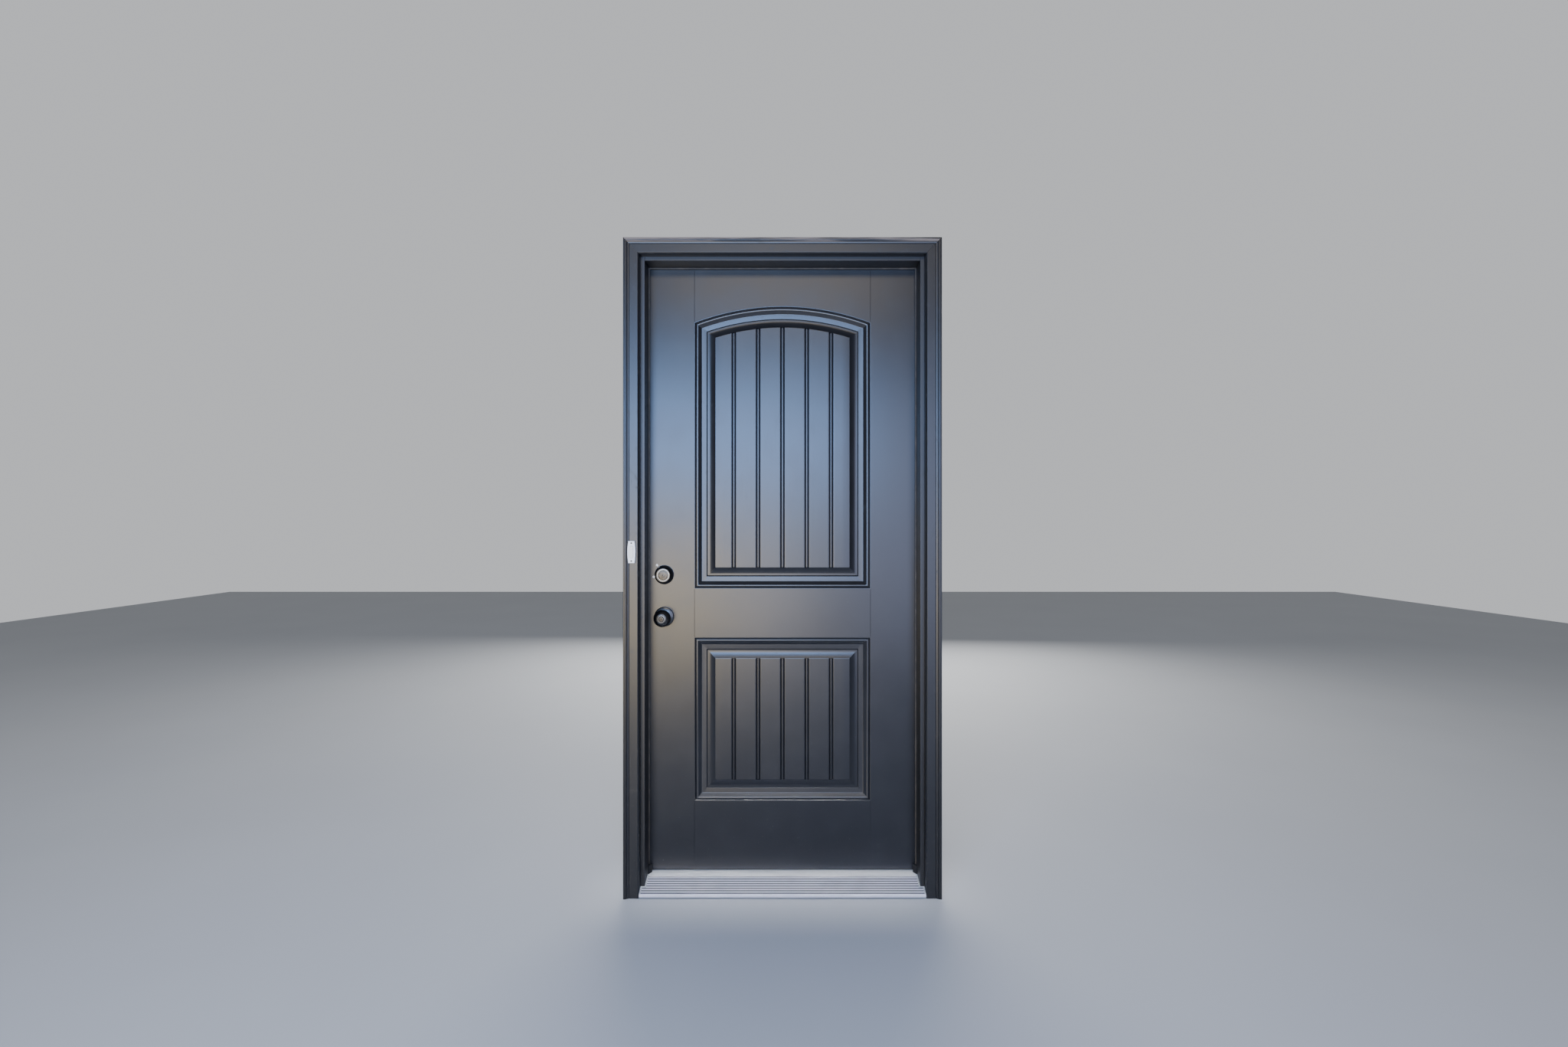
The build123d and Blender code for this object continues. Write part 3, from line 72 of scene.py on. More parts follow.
class Finish:
    """A material of nodes. Values that are the same all over are set on the shader itself."""

    def __init__(self, name, plain):
        self.material = bpy.data.materials.new(name)
        self.material.use_nodes = True
        self.tree = self.material.node_tree
        self.shader = self.tree.nodes["Principled BSDF"]
        for socket, value in plain.items():
            self.shader.inputs[socket].default_value = value

    def node(self, kind, settings, values, result=0):
        """Add a node: its settings first, then its sockets' values or wires, then one result."""
        made = self.tree.nodes.new(kind)
        for name, value in settings.items():
            setattr(made, name, value)
        for socket, value in values.items():
            if isinstance(value, Wire):
                self.tree.links.new(value.socket, made.inputs[socket])
            else:
                made.inputs[socket].default_value = value
        return Wire(self, made.outputs[result])

    def place(self, stretch=(1, 1, 1)):
        """The object's own coordinates, in metres, stretched for grain and brush strokes."""
        here = self.node("ShaderNodeTexCoord", {}, {}, "Object")
        return self.node("ShaderNodeMapping", {}, {"Vector": here, "Scale": stretch})

    def along(self, axis):
        """The place along one axis of the object, in metres."""
        return self.node("ShaderNodeSeparateXYZ", {}, {0: self.place()}, axis)

    def noise(self, scale, detail=3.0, stretch=(1, 1, 1), rough=0.55):
        """Cloudy values round a half, finer with a larger scale."""
        values = {"Vector": self.place(stretch), "Scale": scale, "Detail": detail, "Roughness": rough}
        return self.node("ShaderNodeTexNoise", {}, values)

    def ramp(self, value, low, high):
        """0 below low, 1 above high, and a soft step between them."""
        settings = {"interpolation_type": "SMOOTHSTEP"}
        return self.node("ShaderNodeMapRange", settings, {0: value, 1: low, 2: high})

    def mix(self, share, first, second):
        """A colour between two colours."""
        return self.node("ShaderNodeMix", {"data_type": "RGBA"}, {0: share, 6: first, 7: second}, 2)

    def near(self, point, reach):
        """1 at a point of the object, and 0 from a reach away from it."""
        gap = self.node(
            "ShaderNodeVectorMath", {"operation": "DISTANCE"}, {0: self.place(), 1: point}, "Value")
        return 1 - self.ramp(gap, reach * 0.4, reach)

    def bump(self, height, distance, strength=1.0):
        values = {"Height": height, "Distance": distance, "Strength": strength}
        return self.node("ShaderNodeBump", {}, values)

    def surface(self, values):
        """Lead the values that change over the surface to the shader."""
        for socket, wire in values.items():
            self.tree.links.new(wire.socket, self.shader.inputs[socket])


def tint(red, green, blue):
    """A colour from its three screen values out of 255."""
    return tuple((value / 255) ** 2.2 for value in (red, green, blue)) + (1.0,)


floor_finish = Finish("studio_floor", {"Roughness": 0.7, "Specular IOR Level": 0.3})
floor_finish.surface({
    "Base Color": floor_finish.mix(floor_finish.noise(1.2), tint(176, 179, 184), tint(184, 187, 191)),
})
bm = bmesh.new()
bmesh.ops.create_grid(bm, x_segments=2, y_segments=2, size=9.0)
floor_mesh = bpy.data.meshes.new("studio_floor")
bm.to_mesh(floor_mesh)
bm.free()
floor_mesh.materials.append(floor_finish.material)
floor = bpy.data.objects.new("studio_floor", floor_mesh)
bpy.context.collection.objects.link(floor)

world = bpy.data.worlds.new("studio_air")
world.use_nodes = True
air = world.node_tree
aim = air.nodes.new("ShaderNodeTexCoord")
split = air.nodes.new("ShaderNodeSeparateXYZ")
fade = air.nodes.new("ShaderNodeMapRange")
fade.interpolation_type = "SMOOTHSTEP"
fade.inputs["From Min"].default_value = -0.1
fade.inputs["From Max"].default_value = 0.6
fade.inputs["To Min"].default_value = 0.22
fade.inputs["To Max"].default_value = 0.80
air.nodes["Background"].inputs["Color"].default_value = tint(222, 224, 228)
air.links.new(aim.outputs["Generated"], split.inputs[0])
air.links.new(split.outputs["Y"], fade.inputs["Value"])
air.links.new(fade.outputs["Result"], air.nodes["Background"].inputs["Strength"])
bpy.context.scene.world = world


def lamp(name, place, aim, size, power, colour, spread=180):
    """A soft rectangular lamp at a place, turned towards a point. Its spread is in degrees."""
    light = bpy.data.lights.new(name, "AREA")
    light.shape = "RECTANGLE"
    light.size, light.size_y = size
    light.energy = power
    light.spread = radians(spread)
    light.color = colour
    holder = bpy.data.objects.new(name, light)
    holder.location = place
    holder.rotation_euler = (Vector(aim) - Vector(place)).to_track_quat("-Z", "Y").to_euler()
    bpy.context.collection.objects.link(holder)


lamp("sky_lamp", (-0.65, -3.3, 1.92), (-0.65, 0.0, 1.92), (2.5, 0.84), 122, (0.31, 0.53, 1.0))
lamp("horizon_lamp", (-0.8, -3.3, 1.32), (-0.8, 0.0, 1.32), (2.4, 0.36), 25, (0.55, 0.68, 1.0))
lamp("ground_lamp", (-1.25, -3.3, 0.62), (-1.25, 0.0, 0.62), (1.6, 1.04), 52, (1.0, 0.82, 0.51))
lamp("path_lamp", (-0.1, -3.3, 0.62), (-0.1, 0.0, 0.62), (0.7, 1.04), 18, (0.92, 0.88, 0.90))
lamp("porch_lamp", (-0.05, -3.3, 3.35), (-0.05, 0.0, 3.35), (2.0, 0.9), 26, (1.0, 0.84, 0.62))
lamp("side_lamp", (1.25, -3.3, 1.25), (1.25, 0.0, 1.25), (1.5, 2.1), 40, (0.62, 0.69, 1.0))
lamp("sill_lamp", (0.0, -1.2, 3.0), (0.0, 0.02, 0.03), (1.0, 0.06), 0.6, (1.0, 0.98, 0.94), 9)
lamp("room_lamp", (0.2, 4.2, 2.1), (0.0, 0.1, 1.1), (4.4, 2.4), 230, (1.0, 0.98, 0.95))

view = bpy.data.cameras.new("street_view")
view.sensor_width = 36.0
view.lens = 15.82
view.shift_x = 0.00098
view.shift_y = -0.00415
camera = bpy.data.objects.new("street_view", view)
camera.location = (0.0, -2.2235, 1.2165)
camera.rotation_euler = (pi / 2, 0, 0)
bpy.context.collection.objects.link(camera)
bpy.context.scene.camera = camera

# Jambs: rabbeted softwood legs and a head, primed and painted satin charcoal by brush. The
# head sits across the tops of the legs, and the hinges and strikes are let into the legs.


def weathered_paint(name, along, rough, worn_above=9.0):
    """Satin charcoal paint with brush marks along a piece, dust, and a few pale specks. From a
    height of worn_above metres up it is worn, with pale smears."""
    finish = Finish(name, {"Roughness": rough, "Specular IOR Level": 0.65})
    stretch = tuple(0.05 if axis == along else 1.5 for axis in "XYZ")
    strokes = finish.noise(14.0, 4.0, stretch)
    cloud = finish.noise(5.0, 3.0)
    dust = finish.ramp(finish.noise(60.0, 5.0), 0.58, 0.78)
    specks = finish.ramp(finish.noise(420.0, 1.0), 0.775, 0.83)
    low = 1 - finish.ramp(finish.along("Z"), 0.0, 0.45)
    paint = finish.mix(cloud, tint(19, 20, 24), tint(26, 27, 30))
    paint = finish.mix(dust * (0.07 + 0.03 * low), paint, tint(112, 109, 104))
    paint = finish.mix(specks * (0.25 + 0.5 * low), paint, tint(150, 150, 150))
    fine = finish.noise(900.0, 2.0)
    smears = finish.ramp(finish.noise(36.0, 5.0, (0.14, 4.0, 4.0)), 0.36, 0.62)
    worn = smears * finish.ramp(finish.along("Z"), worn_above, worn_above + 0.004)
    paint = finish.mix(worn * 0.75, paint, tint(134, 121, 111))
    finish.surface({
        "Base Color": paint,
        "Roughness": rough + 0.10 * (cloud - 0.5) + 0.18 * dust + 0.2 * worn,
        "Normal": finish.bump(strokes * 0.7 + fine * 0.3, 0.00012, 0.5),
    })
    return finish


def merged(node):
    """The mesh of a CAD node with its loose triangles joined and its flat faces whole."""
    bm = bmesh.new()
    bm.from_mesh(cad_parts[node].data)
    bmesh.ops.remove_doubles(bm, verts=bm.verts, dist=2e-6)
    bmesh.ops.dissolve_limit(bm, angle_limit=radians(0.4), verts=bm.verts, edges=bm.edges)
    return bm


def sharp_edges(bm, angle=32):
    folds = [edge for edge in bm.edges if edge.is_manifold]
    return [edge for edge in folds if edge.calc_face_angle(0) > radians(angle)]


def finished(name, bm, body, finish, replaced, angle=32, weigh=False):
    """Make a mesh a piece: creases past an angle, material, body, and the CAD node that
    it stands for. weigh evens the shading beside rounded edges."""
    for face in bm.faces:
        face.smooth = True
    for edge in sharp_edges(bm, angle):
        edge.smooth = False
    mesh = bpy.data.meshes.new(name)
    bm.to_mesh(mesh)
    bm.free()
    mesh.materials.append(finish.material)
    made = bpy.data.objects.new(name, mesh)
    bpy.context.collection.objects.link(made)
    if weigh:
        even = made.modifiers.new("even", "WEIGHTED_NORMAL")
        even.keep_sharp = True
    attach(made, body)
    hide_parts(replaced)


def soften(bm, edges, radius, segments=2):
    """Round edges by a radius in millimetres."""
    bmesh.ops.bevel(
        bm, geom=edges, offset=radius / 1000, offset_type="OFFSET", affect="EDGES",
        segments=segments, profile=0.5, material=-1, clamp_overlap=True,
    )


def softened(node, body, finish, radius, angle=32):
    """A copy of a CAD node with its sharp edges rounded by a radius in millimetres."""
    bm = merged(node)
    soften(bm, sharp_edges(bm, angle), radius)
    finished(f"{node}_body", bm, body, finish, node, weigh=True)


upright_paint = weathered_paint("jamb_paint_upright", "Z", 0.42)
level_paint = weathered_paint("jamb_paint_level", "X", 0.42)
softened("hinge_jamb", "frame", upright_paint, 0.8)
softened("latch_jamb", "frame", upright_paint, 0.8)
softened("head_jamb", "frame", level_paint, 0.8)

# Brickmould: milled softwood casing round the street side of the jambs, painted the same
# charcoal. It is nailed to the jambs' edges, mitred at the head, and its bead throws rain off.
casing_inner, casing_outer, casing_head, casing_top = 457.2, 508.0, 2056.2, 2107.0
open_mitre, tight_mitre = 0.35, 0.08


def rounded(corners, steps=3, closed=True):
    """An outline through corners (a, b) or (a, b, radius), its radii drawn as small arcs."""
    outline = []
    count = len(corners)
    for index, here in enumerate(corners):
        corner = Vector(here[:2])
        end = not closed and index in (0, count - 1)
        if len(here) < 3 or end:
            outline.append(tuple(corner))
            continue
        back = (Vector(corners[index - 1][:2]) - corner).normalized()
        on = (Vector(corners[(index + 1) % count][:2]) - corner).normalized()
        half = back.angle(on) / 2
        centre = corner + (back + on).normalized() * here[2] / sin(half)
        start = corner + back * here[2] / tan(half) - centre
        stop = corner + on * here[2] / tan(half) - centre
        turn = atan2(start.x * stop.y - start.y * stop.x, start.dot(stop))
        for step in range(steps + 1):
            outline.append(tuple(centre + Matrix.Rotation(turn * step / steps, 2) @ start))
    return outline


def arc(start, end, sag, steps):
    """Points between two ends of a shallow arc, without the ends. sag is to its left."""
    start, end = Vector(start), Vector(end)
    across = (end - start).orthogonal().normalized()
    points = []
    for step in range(1, steps):
        share = step / steps
        points.append(tuple(start.lerp(end, share) + across * sag * 4 * share * (1 - share)))
    return points


def vertices(parts):
    return [part for part in parts if isinstance(part, bmesh.types.BMVert)]


def run(outline, start, end, place):
    """A closed section run between two distances. place turns (a, b, along) into a point."""
    bm = bmesh.new()
    corners = [bm.verts.new(place(a, b, start)) for a, b in outline]
    cap = bm.faces.new(corners)
    grown = bmesh.ops.extrude_face_region(bm, geom=[cap], use_keep_orig=True)["geom"]
    step = Vector(place(0, 0, end)) - Vector(place(0, 0, start))
    bmesh.ops.translate(bm, vec=step, verts=vertices(grown))
    bmesh.ops.recalc_face_normals(bm, faces=bm.faces)
    return bm


def trimmed(bm, point, normal):
    """Cut away what lies on a plane's far side, and close the cut."""
    cut = bmesh.ops.bisect_plane(
        bm, geom=[*bm.verts, *bm.edges, *bm.faces], dist=1e-5,
        plane_co=point, plane_no=normal, clear_outer=True,
    )["geom_cut"]
    edges = [part for part in cut if isinstance(part, bmesh.types.BMEdge)]
    bmesh.ops.contextual_create(bm, geom=edges)
    bmesh.ops.recalc_face_normals(bm, faces=bm.faces)


def metres(bm):
    bmesh.ops.scale(bm, vec=(0.001, 0.001, 0.001), verts=bm.verts)
    return bm


casing_outline = rounded([
    (0, 0, 0.6), (50.8, 0, 0.6), (50.8, 31.75, 2.4), (45.4, 31.75, 0.5), (44.5, 30.5, 0.2),
    (43.5, 31.5, 0.6), (41.0, 31.2, 0.8), (39.4, 28.4, 0.3), (38.3, 29.0, 0.5),
    *arc((38.3, 29.0), (34.0, 27.3), 0.4, 3),
    (33.2, 27.0, 0.4), (32.2, 25.3, 0.2), (31.0, 26.5, 0.5), (5.4, 26.5, 1.0),
    *arc((4.4, 26.0), (0, 20.5), -0.7, 4),
    (0, 20, 0.6),
])
for side, node in ((1, "hinge_brickmould"), (-1, "latch_brickmould")):
    bm = run(casing_outline, 0, casing_top, lambda a, b, along: (side * (casing_inner + a), -b, along))
    gap = open_mitre if side == 1 else tight_mitre
    trimmed(bm, (side * (casing_inner + gap), 0, casing_head), (-side, 0, 1))
    paint = weathered_paint(f"{node}_paint", "Z", 0.34)
    finished(f"{node}_casing", metres(bm), "frame", paint, node, 28, True)
bm = run(casing_outline, -casing_outer, casing_outer, lambda a, b, along: (along, -b, casing_head + a))
trimmed(bm, (casing_inner - open_mitre, 0, casing_head), (1, 0, -1))
trimmed(bm, (-casing_inner + tight_mitre, 0, casing_head), (-1, 0, -1))
head_paint = weathered_paint("head_brickmould_paint", "X", 0.38, 2.0925)
finished(
    "head_brickmould_casing", metres(bm), "frame", head_paint, "head_brickmould",
    28, True)

# Sill: a mill-finish aluminium extrusion with fine ribs against slipping, over a composite
# base. A timber cap stands in its channel under the leaf, and sealant closes its ends.
sill_metal = Finish("sill_metal", {"Roughness": 0.42})
drag = sill_metal.noise(60.0, 4.0, (0.03, 3.0, 3.0))
die_lines = sill_metal.noise(900.0, 2.0, (0.004, 1.0, 1.0))
patch = sill_metal.noise(9.0, 4.0)
grime = sill_metal.ramp(sill_metal.noise(26.0, 5.0, (0.5, 1.0, 1.0)), 0.45, 0.75)
depth = sill_metal.along("Y")
groove_middle, groove_pitch, ribs_end = -0.026, 0.0096, 0.044
swing = (depth - groove_middle) * (2 * pi / groove_pitch)
wave = sill_metal.node("ShaderNodeMath", {"operation": "COSINE"}, {0: swing})
ribbed = sill_metal.ramp(ribs_end - depth, 0.0, 0.003)
# The grooves, and a band beside each, are darkened with dirt and painted shade, and made less metallic
# and rougher.
groove_dirt_and_shade = sill_metal.ramp(wave, -0.45, 0.55) * ribbed
metal = sill_metal.mix(drag, tint(240, 239, 241), tint(254, 253, 252))
# The ribbed slope is tinted lavender: a painted reflection of blue sky.
metal = sill_metal.mix(ribbed * 0.42, metal, tint(200, 203, 236))
metal = sill_metal.mix(grime * 0.2, metal, tint(160, 158, 156))
# Dark blue-grey in the grooves: dirt and painted shade.
metal = sill_metal.mix(groove_dirt_and_shade * 0.96, metal, tint(34, 34, 52))
sill_metal.surface({
    "Base Color": metal,
    "Metallic": 0.34 - 0.3 * groove_dirt_and_shade,
    "Roughness": 0.30 + 0.12 * patch + 0.15 * grime + 0.3 * groove_dirt_and_shade,
    "Normal": sill_metal.bump(die_lines, 0.0003, 0.9),
})
bm = merged("sill_deck")
soften(bm, [edge for edge in sharp_edges(bm, 20) if edge.is_convex], 0.6, 3)
finished("sill_deck_body", bm, "frame", sill_metal, "sill_deck", weigh=True)

sealant = Finish("sealant", {"Roughness": 0.55})
sealant.surface({
    "Base Color": sealant.mix(sealant.noise(90.0, 4.0), tint(150, 152, 158), tint(196, 198, 203)),
    "Normal": sealant.bump(sealant.noise(260.0, 3.0), 0.0006, 0.6),
})
softened("sill_sealant", "frame", sealant, 0.8)


def dressed(finish, *nodes):
    """Give CAD nodes that stay as they are their finish."""
    for node in nodes:
        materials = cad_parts[node].data.materials
        materials.clear()
        materials.append(finish.material)


composite = Finish("composite", {"Roughness": 0.8})
composite.surface({
    "Base Color": composite.mix(composite.noise(70.0, 6.0), tint(98, 94, 88), tint(128, 122, 112)),
    "Normal": composite.bump(composite.noise(500.0, 4.0), 0.0003, 0.6),
})
dressed(composite, "sill_base")

cap_timber = Finish("cap_timber", {"Roughness": 0.45})
grain = cap_timber.noise(22.0, 6.0, (0.08, 6.0, 6.0), 0.65)
cap_timber.surface({
    "Base Color": cap_timber.mix(grain, tint(26, 22, 20), tint(46, 38, 32)),
    "Roughness": 0.38 + 0.2 * grain,
    "Normal": cap_timber.bump(grain, 0.0002, 0.5),
})
softened("threshold_cap", "frame", cap_timber, 0.5)

# Weatherstrip: soft foam in a smooth vinyl skin, pressed by its barb into a kerf in the stop.
# It fills the rabbet's corner, and the closed leaf presses on it at the legs and the head. Foam
# pads close the stops' corners just above the sill.
seal = Finish("seal_vinyl", {"Roughness": 0.5})
wrinkle = seal.noise(120.0, 3.0)
scuffed = seal.ramp(seal.noise(40.0, 4.0), 0.4, 0.8)
seal.surface({
    "Base Color": seal.mix(scuffed, tint(50, 46, 41), tint(74, 68, 60)),
    "Roughness": 0.42 + 0.2 * wrinkle,
    "Normal": seal.bump(wrinkle, 0.0002, 0.5),
})
strip_inner, strip_foot, strip_head, strip_top = 440.5, 37.5, 2039.5, 2056.2
strip_outline = rounded([
    (strip_inner, 65.2, 1.2), (strip_inner, 71.25, 2.6), (457.2, 71.25, 0.6), (457.2, 65.2),
    (455.6, 65.2), (455.6, 56.2, 0.6), (452.6, 56.2, 0.6), (452.6, 65.2),
], 5)
for side, node in ((1, "hinge_weatherstrip"), (-1, "latch_weatherstrip")):
    bm = run(strip_outline, strip_foot, strip_top, lambda a, b, along: (side * a, b, along))
    finished(f"{node}_bulb", metres(bm), "frame", seal, node, 40, True)
head_strip = [(a - strip_inner + strip_head, b) for a, b in strip_outline]
bm = run(head_strip, -strip_inner, strip_inner, lambda a, b, along: (along, b, a))
finished("head_weatherstrip_bulb", metres(bm), "frame", seal, "head_weatherstrip", 40, True)

pad_foam = Finish("pad_foam", {"Roughness": 0.9})
pad_foam.surface({
    "Base Color": pad_foam.mix(pad_foam.noise(300.0, 3.0), tint(18, 18, 20), tint(34, 34, 36)),
    "Normal": pad_foam.bump(pad_foam.noise(900.0, 2.0), 0.0004, 0.8),
})
softened("corner_pads", "frame", pad_foam, 0.8)

# Leaf faces: two smooth moulded fibreglass skins, painted satin charcoal with the door hung.
# Each has two raised panels of upright planks, and the upper panel's head is an arch.
leaf_half, leaf_low, leaf_high = 454.0, 46.0, 2053.0
face_y, middle_y, skin = 71.55, 93.775, 2.0
panel_half, lip_inset, floor_inset, cove_inset, cove_width = 292.0, 42.0, 45.0, 48.5, 20.0
lower_panel, upper_panel_foot = (273.0, 814.0), 979.5
recess, field, plank_pitch = 9.0, 1.6, 81.2
arch_centre, arch_radius = 1092.9, 823.6
flat_margin, edge_round, bore_radius = 2.5, 1.7, 27.0
joint_half, joint_depth = 0.6, 0.42
lock_x, knob_z, bolt_z = -393.7, 884.7, 1024.4
hinge_heights = (1824.4, 1074.9, 325.4)


def moulding():
    """Points (inset, depth) across the moulding, from the flat round it to its inner lip."""
    corners = [(-flat_margin, 0), (0, 0, 0.8), (2.6, 3.9, 0.5), (5.2, 0.9, 0.35)]
    corners += [(5.2 + 6.2 * share, 0.8 - 0.75 * sin(pi * share)) for share in (0.2, 0.4, 0.6, 0.8)]
    corners += [(11.4, 0.8, 0.6), (22.6, recess, 2.0)]
    corners += [(38.2, recess, 0.4), (40.1, recess + 1.9, 0.3), (lip_inset, recess, 0.4)]
    corners += [(lip_inset + 1.5, recess)]
    return rounded(corners, 2, closed=False)[:-1]


def cove(share):
    """Depth of the hollow bevel round the field, at a share of the way up to the field."""
    share = min(1.0, max(0.0, share))
    return recess - (recess - field) * (0.57 * share + 0.43 * share ** 2)


def planks():
    """Points (x, depth) across the field, from one lip to the other, with five grooves."""
    corners = []
    for step in range(7):
        corners.append((-(panel_half - cove_inset) + cove_width * step / 6, cove(step / 6)))
    corners[-1] += (1.2,)
    corners = [(-(panel_half - lip_inset - 0.9), recess), *corners]
    for groove in range(-2, 3):
        centre = plank_pitch * groove
        corners += [(centre - 34, field), (centre - 22, field), (centre - 11, field)]
        corners += [(centre - 7.4, field, 0.9), (centre - 3.7, 6.6, 0.3), (centre - 2.0, 3.8, 0.5)]
        corners += [(centre + 2.0, 3.8, 0.5), (centre + 3.7, 6.6, 0.3), (centre + 7.4, field, 0.9)]
        corners += [(centre + 11, field), (centre + 22, field), (centre + 34, field)]
    corners += [(-corner[0], *corner[1:]) for corner in reversed(corners[:8])]
    return rounded(corners, 2, closed=False)


def rim_outline(inset, notched):
    """The leaf's outline, with notches in the hinge edge for the hinge leaves."""
    x, low, high = leaf_half - inset, leaf_low + inset, leaf_high - inset
    outline = [(-x, low), (x, low)]
    if notched:
        for centre in sorted(hinge_heights):
            below, above = centre - 50.8 - inset, centre + 50.8 + inset
            outline += [(x, below), (x - 2.2, below), (x - 2.2, above), (x, above)]
    return outline + [(x, high), (-x, high)]


def joined(bm, chain, closed=True):
    """The edges along a chain of vertices, made where there is none yet."""
    pairs = list(zip(chain, chain[1:]))
    if closed:
        pairs.append((chain[-1], chain[0]))
    return [bm.edges.get(pair) or bm.edges.new(pair) for pair in pairs]


def drawn_on(bm, chain, points, closed=True):
    """Extrude a chain of vertices to new points, and give back the new chain."""
    grown = bmesh.ops.extrude_edge_only(bm, edges=joined(bm, chain, closed))["geom"]
    fresh = set(vertices(grown))
    ends = []
    for vertex, point in zip(chain, points):
        beside = [edge.other_vert(vertex) for edge in vertex.link_edges]
        end = next(other for other in beside if other in fresh)
        end.co = point
        ends.append(end)
    return ends


def panel(bm, low, top):
    """One panel, from the flat round it to its field. top(x, inset) is its head's height."""
    columns = planks()
    loop = None
    for inset, depth in moulding():
        spread = (panel_half - inset) / (panel_half - lip_inset)
        widths = [-(panel_half - inset), *(x * spread for x, _ in columns[1:-1]), panel_half - inset]
        points = [(x, face_y + depth, low + inset) for x in widths]
        points += [(x, face_y + depth, top(x, inset)) for x in reversed(widths)]
        if loop is None:
            loop = [bm.verts.new(point) for point in points]
            outer = loop
        else:
            loop = drawn_on(bm, loop, points)
        lip = points
    widths = [x for x, _, _ in lip[: len(columns)]]
    reaches = []
    for x, (_, plank) in zip(widths, columns):
        rise = min(panel_half - abs(x), cove_inset + cove_width)
        climb = rise - 1.2 - cove_inset
        run_in = [min(rise, lip_inset), min(rise, floor_inset)]
        for step in range(7):
            run_in.append(min(rise, max(cove_inset, cove_inset + climb * step / 6)))
        reaches.append((run_in + [rise, rise + 1.2, rise + 3.0], plank))

    def depth_at(x, inset, plank):
        if inset > cove_inset + cove_width:
            return plank
        bevel = cove((inset - cove_inset) / cove_width)
        return max(bevel, plank) if abs(x) > panel_half - cove_inset - cove_width else bevel

    chain = loop[: len(columns)]
    rows = len(reaches[0][0])
    for row in [*range(1, rows), *(-1 - step for step in range(rows))]:
        points = []
        for x, (insets, plank) in zip(widths, reaches):
            inset = insets[row]
            height = low + inset if row >= 0 else top(x, inset)
            points.append((x, face_y + depth_at(x, inset, plank), height))
        chain = drawn_on(bm, chain, points, closed=False)
    return outer


def moulded_skin(notched):
    """One skin: its two panels, joint lines, lock bores, rounded rim, and a closed back."""
    bm = bmesh.new()

    def arch(x, inset):
        return arch_centre + sqrt((arch_radius - inset) ** 2 - x * x)

    lower = panel(bm, lower_panel[0], lambda x, inset: lower_panel[1] - inset)
    upper = panel(bm, upper_panel_foot, arch)
    rings = [lower, upper]
    bottom_rail = (leaf_low, lower_panel[0])
    lock_rail = (lower_panel[1], upper_panel_foot)
    top_rail = (arch(panel_half, 0), leaf_high)
    for side in (-1, 1):
        for low, high in (bottom_rail, lock_rail, top_rail):
            low, high = low + flat_margin + joint_half, high - flat_margin - joint_half
            x = side * (panel_half + 1)
            ends = ((-joint_half, low), (joint_half, low), (joint_half, high), (-joint_half, high))
            ring = [bm.verts.new((x + a, face_y, z)) for a, z in ends]
            heights = (low + 0.2, low + 0.2, high - 0.2, high - 0.2)
            drawn_on(bm, ring, [(x, face_y + joint_depth, z) for z in heights])
            rings.append(ring)
    for z in (knob_z, bolt_z):
        turn = Matrix.Translation((lock_x, face_y, z)) @ Matrix.Rotation(pi / 2, 4, "X")
        bore = bmesh.ops.create_circle(bm, segments=40, radius=bore_radius, matrix=turn)
        rings.append(bore["verts"])
    rim = [bm.verts.new((x, face_y, z)) for x, z in rim_outline(flat_margin, notched)]
    rings.append(rim)
    edges = [edge for ring in rings for edge in joined(bm, ring)]
    bmesh.ops.triangle_fill(bm, edges=edges, use_beauty=True, normal=(0, -1, 0))
    bmesh.ops.remove_doubles(bm, verts=bm.verts, dist=0.002)
    rim = [vertex for vertex in rim if vertex.is_valid]
    bmesh.ops.recalc_face_normals(bm, faces=bm.faces)
    grown = bmesh.ops.extrude_face_region(bm, geom=list(bm.faces), use_keep_orig=True)["geom"]
    moved = set(vertices(grown))
    bmesh.ops.translate(bm, vec=(0, skin, 0), verts=list(moved))
    behind = {edge.other_vert(vertex) for vertex in rim for edge in vertex.link_edges} & moved
    walls = []
    for face in bm.faces:
        corners = set(face.verts)
        if corners <= behind | set(rim) and corners & moved and corners - moved:
            walls.append(face)
    bmesh.ops.delete(bm, geom=walls, context="FACES_ONLY")
    bend = []
    for step in range(6):
        turn = pi / 2 * step / 5
        bend.append((edge_round * (1 - sin(turn)), edge_round * (1 - cos(turn))))
    chain = rim
    for inset, depth in [*bend, (0, skin), (flat_margin, skin)]:
        chain = drawn_on(bm, chain, [(x, face_y + depth, z) for x, z in rim_outline(inset, notched)])
    bmesh.ops.remove_doubles(bm, verts=bm.verts, dist=0.002)
    bmesh.ops.dissolve_degenerate(bm, edges=bm.edges, dist=0.001)
    return bm


leaf_paint = Finish("leaf_paint", {"Roughness": 0.3, "Specular IOR Level": 0.65})
cloud = leaf_paint.noise(3.2, 3.0)
haze = leaf_paint.ramp(leaf_paint.noise(11.0, 5.0), 0.35, 0.8)
dust = leaf_paint.ramp(leaf_paint.noise(70.0, 5.0), 0.60, 0.80)
specks = leaf_paint.ramp(leaf_paint.noise(330.0, 1.0), 0.785, 0.85)
foot = 1 - leaf_paint.ramp(leaf_paint.along("Z"), 0.05, 0.5)
peel = leaf_paint.noise(260.0, 2.0)
chips = leaf_paint.near((-0.4174, 0.0716, 1.0559), 0.0065)
chips = chips + leaf_paint.near((-0.4289, 0.0716, 1.0176), 0.006)
chips = leaf_paint.ramp(chips * leaf_paint.noise(260.0, 1.0), 0.30, 0.34)
paint = leaf_paint.mix(cloud, tint(18, 20, 25), tint(24, 26, 31))
paint = leaf_paint.mix(haze * 0.12, paint, tint(50, 52, 57))
paint = leaf_paint.mix(dust * (0.05 + 0.03 * foot), paint, tint(112, 110, 106))
paint = leaf_paint.mix(specks * (0.12 + 0.5 * foot), paint, tint(150, 150, 148))
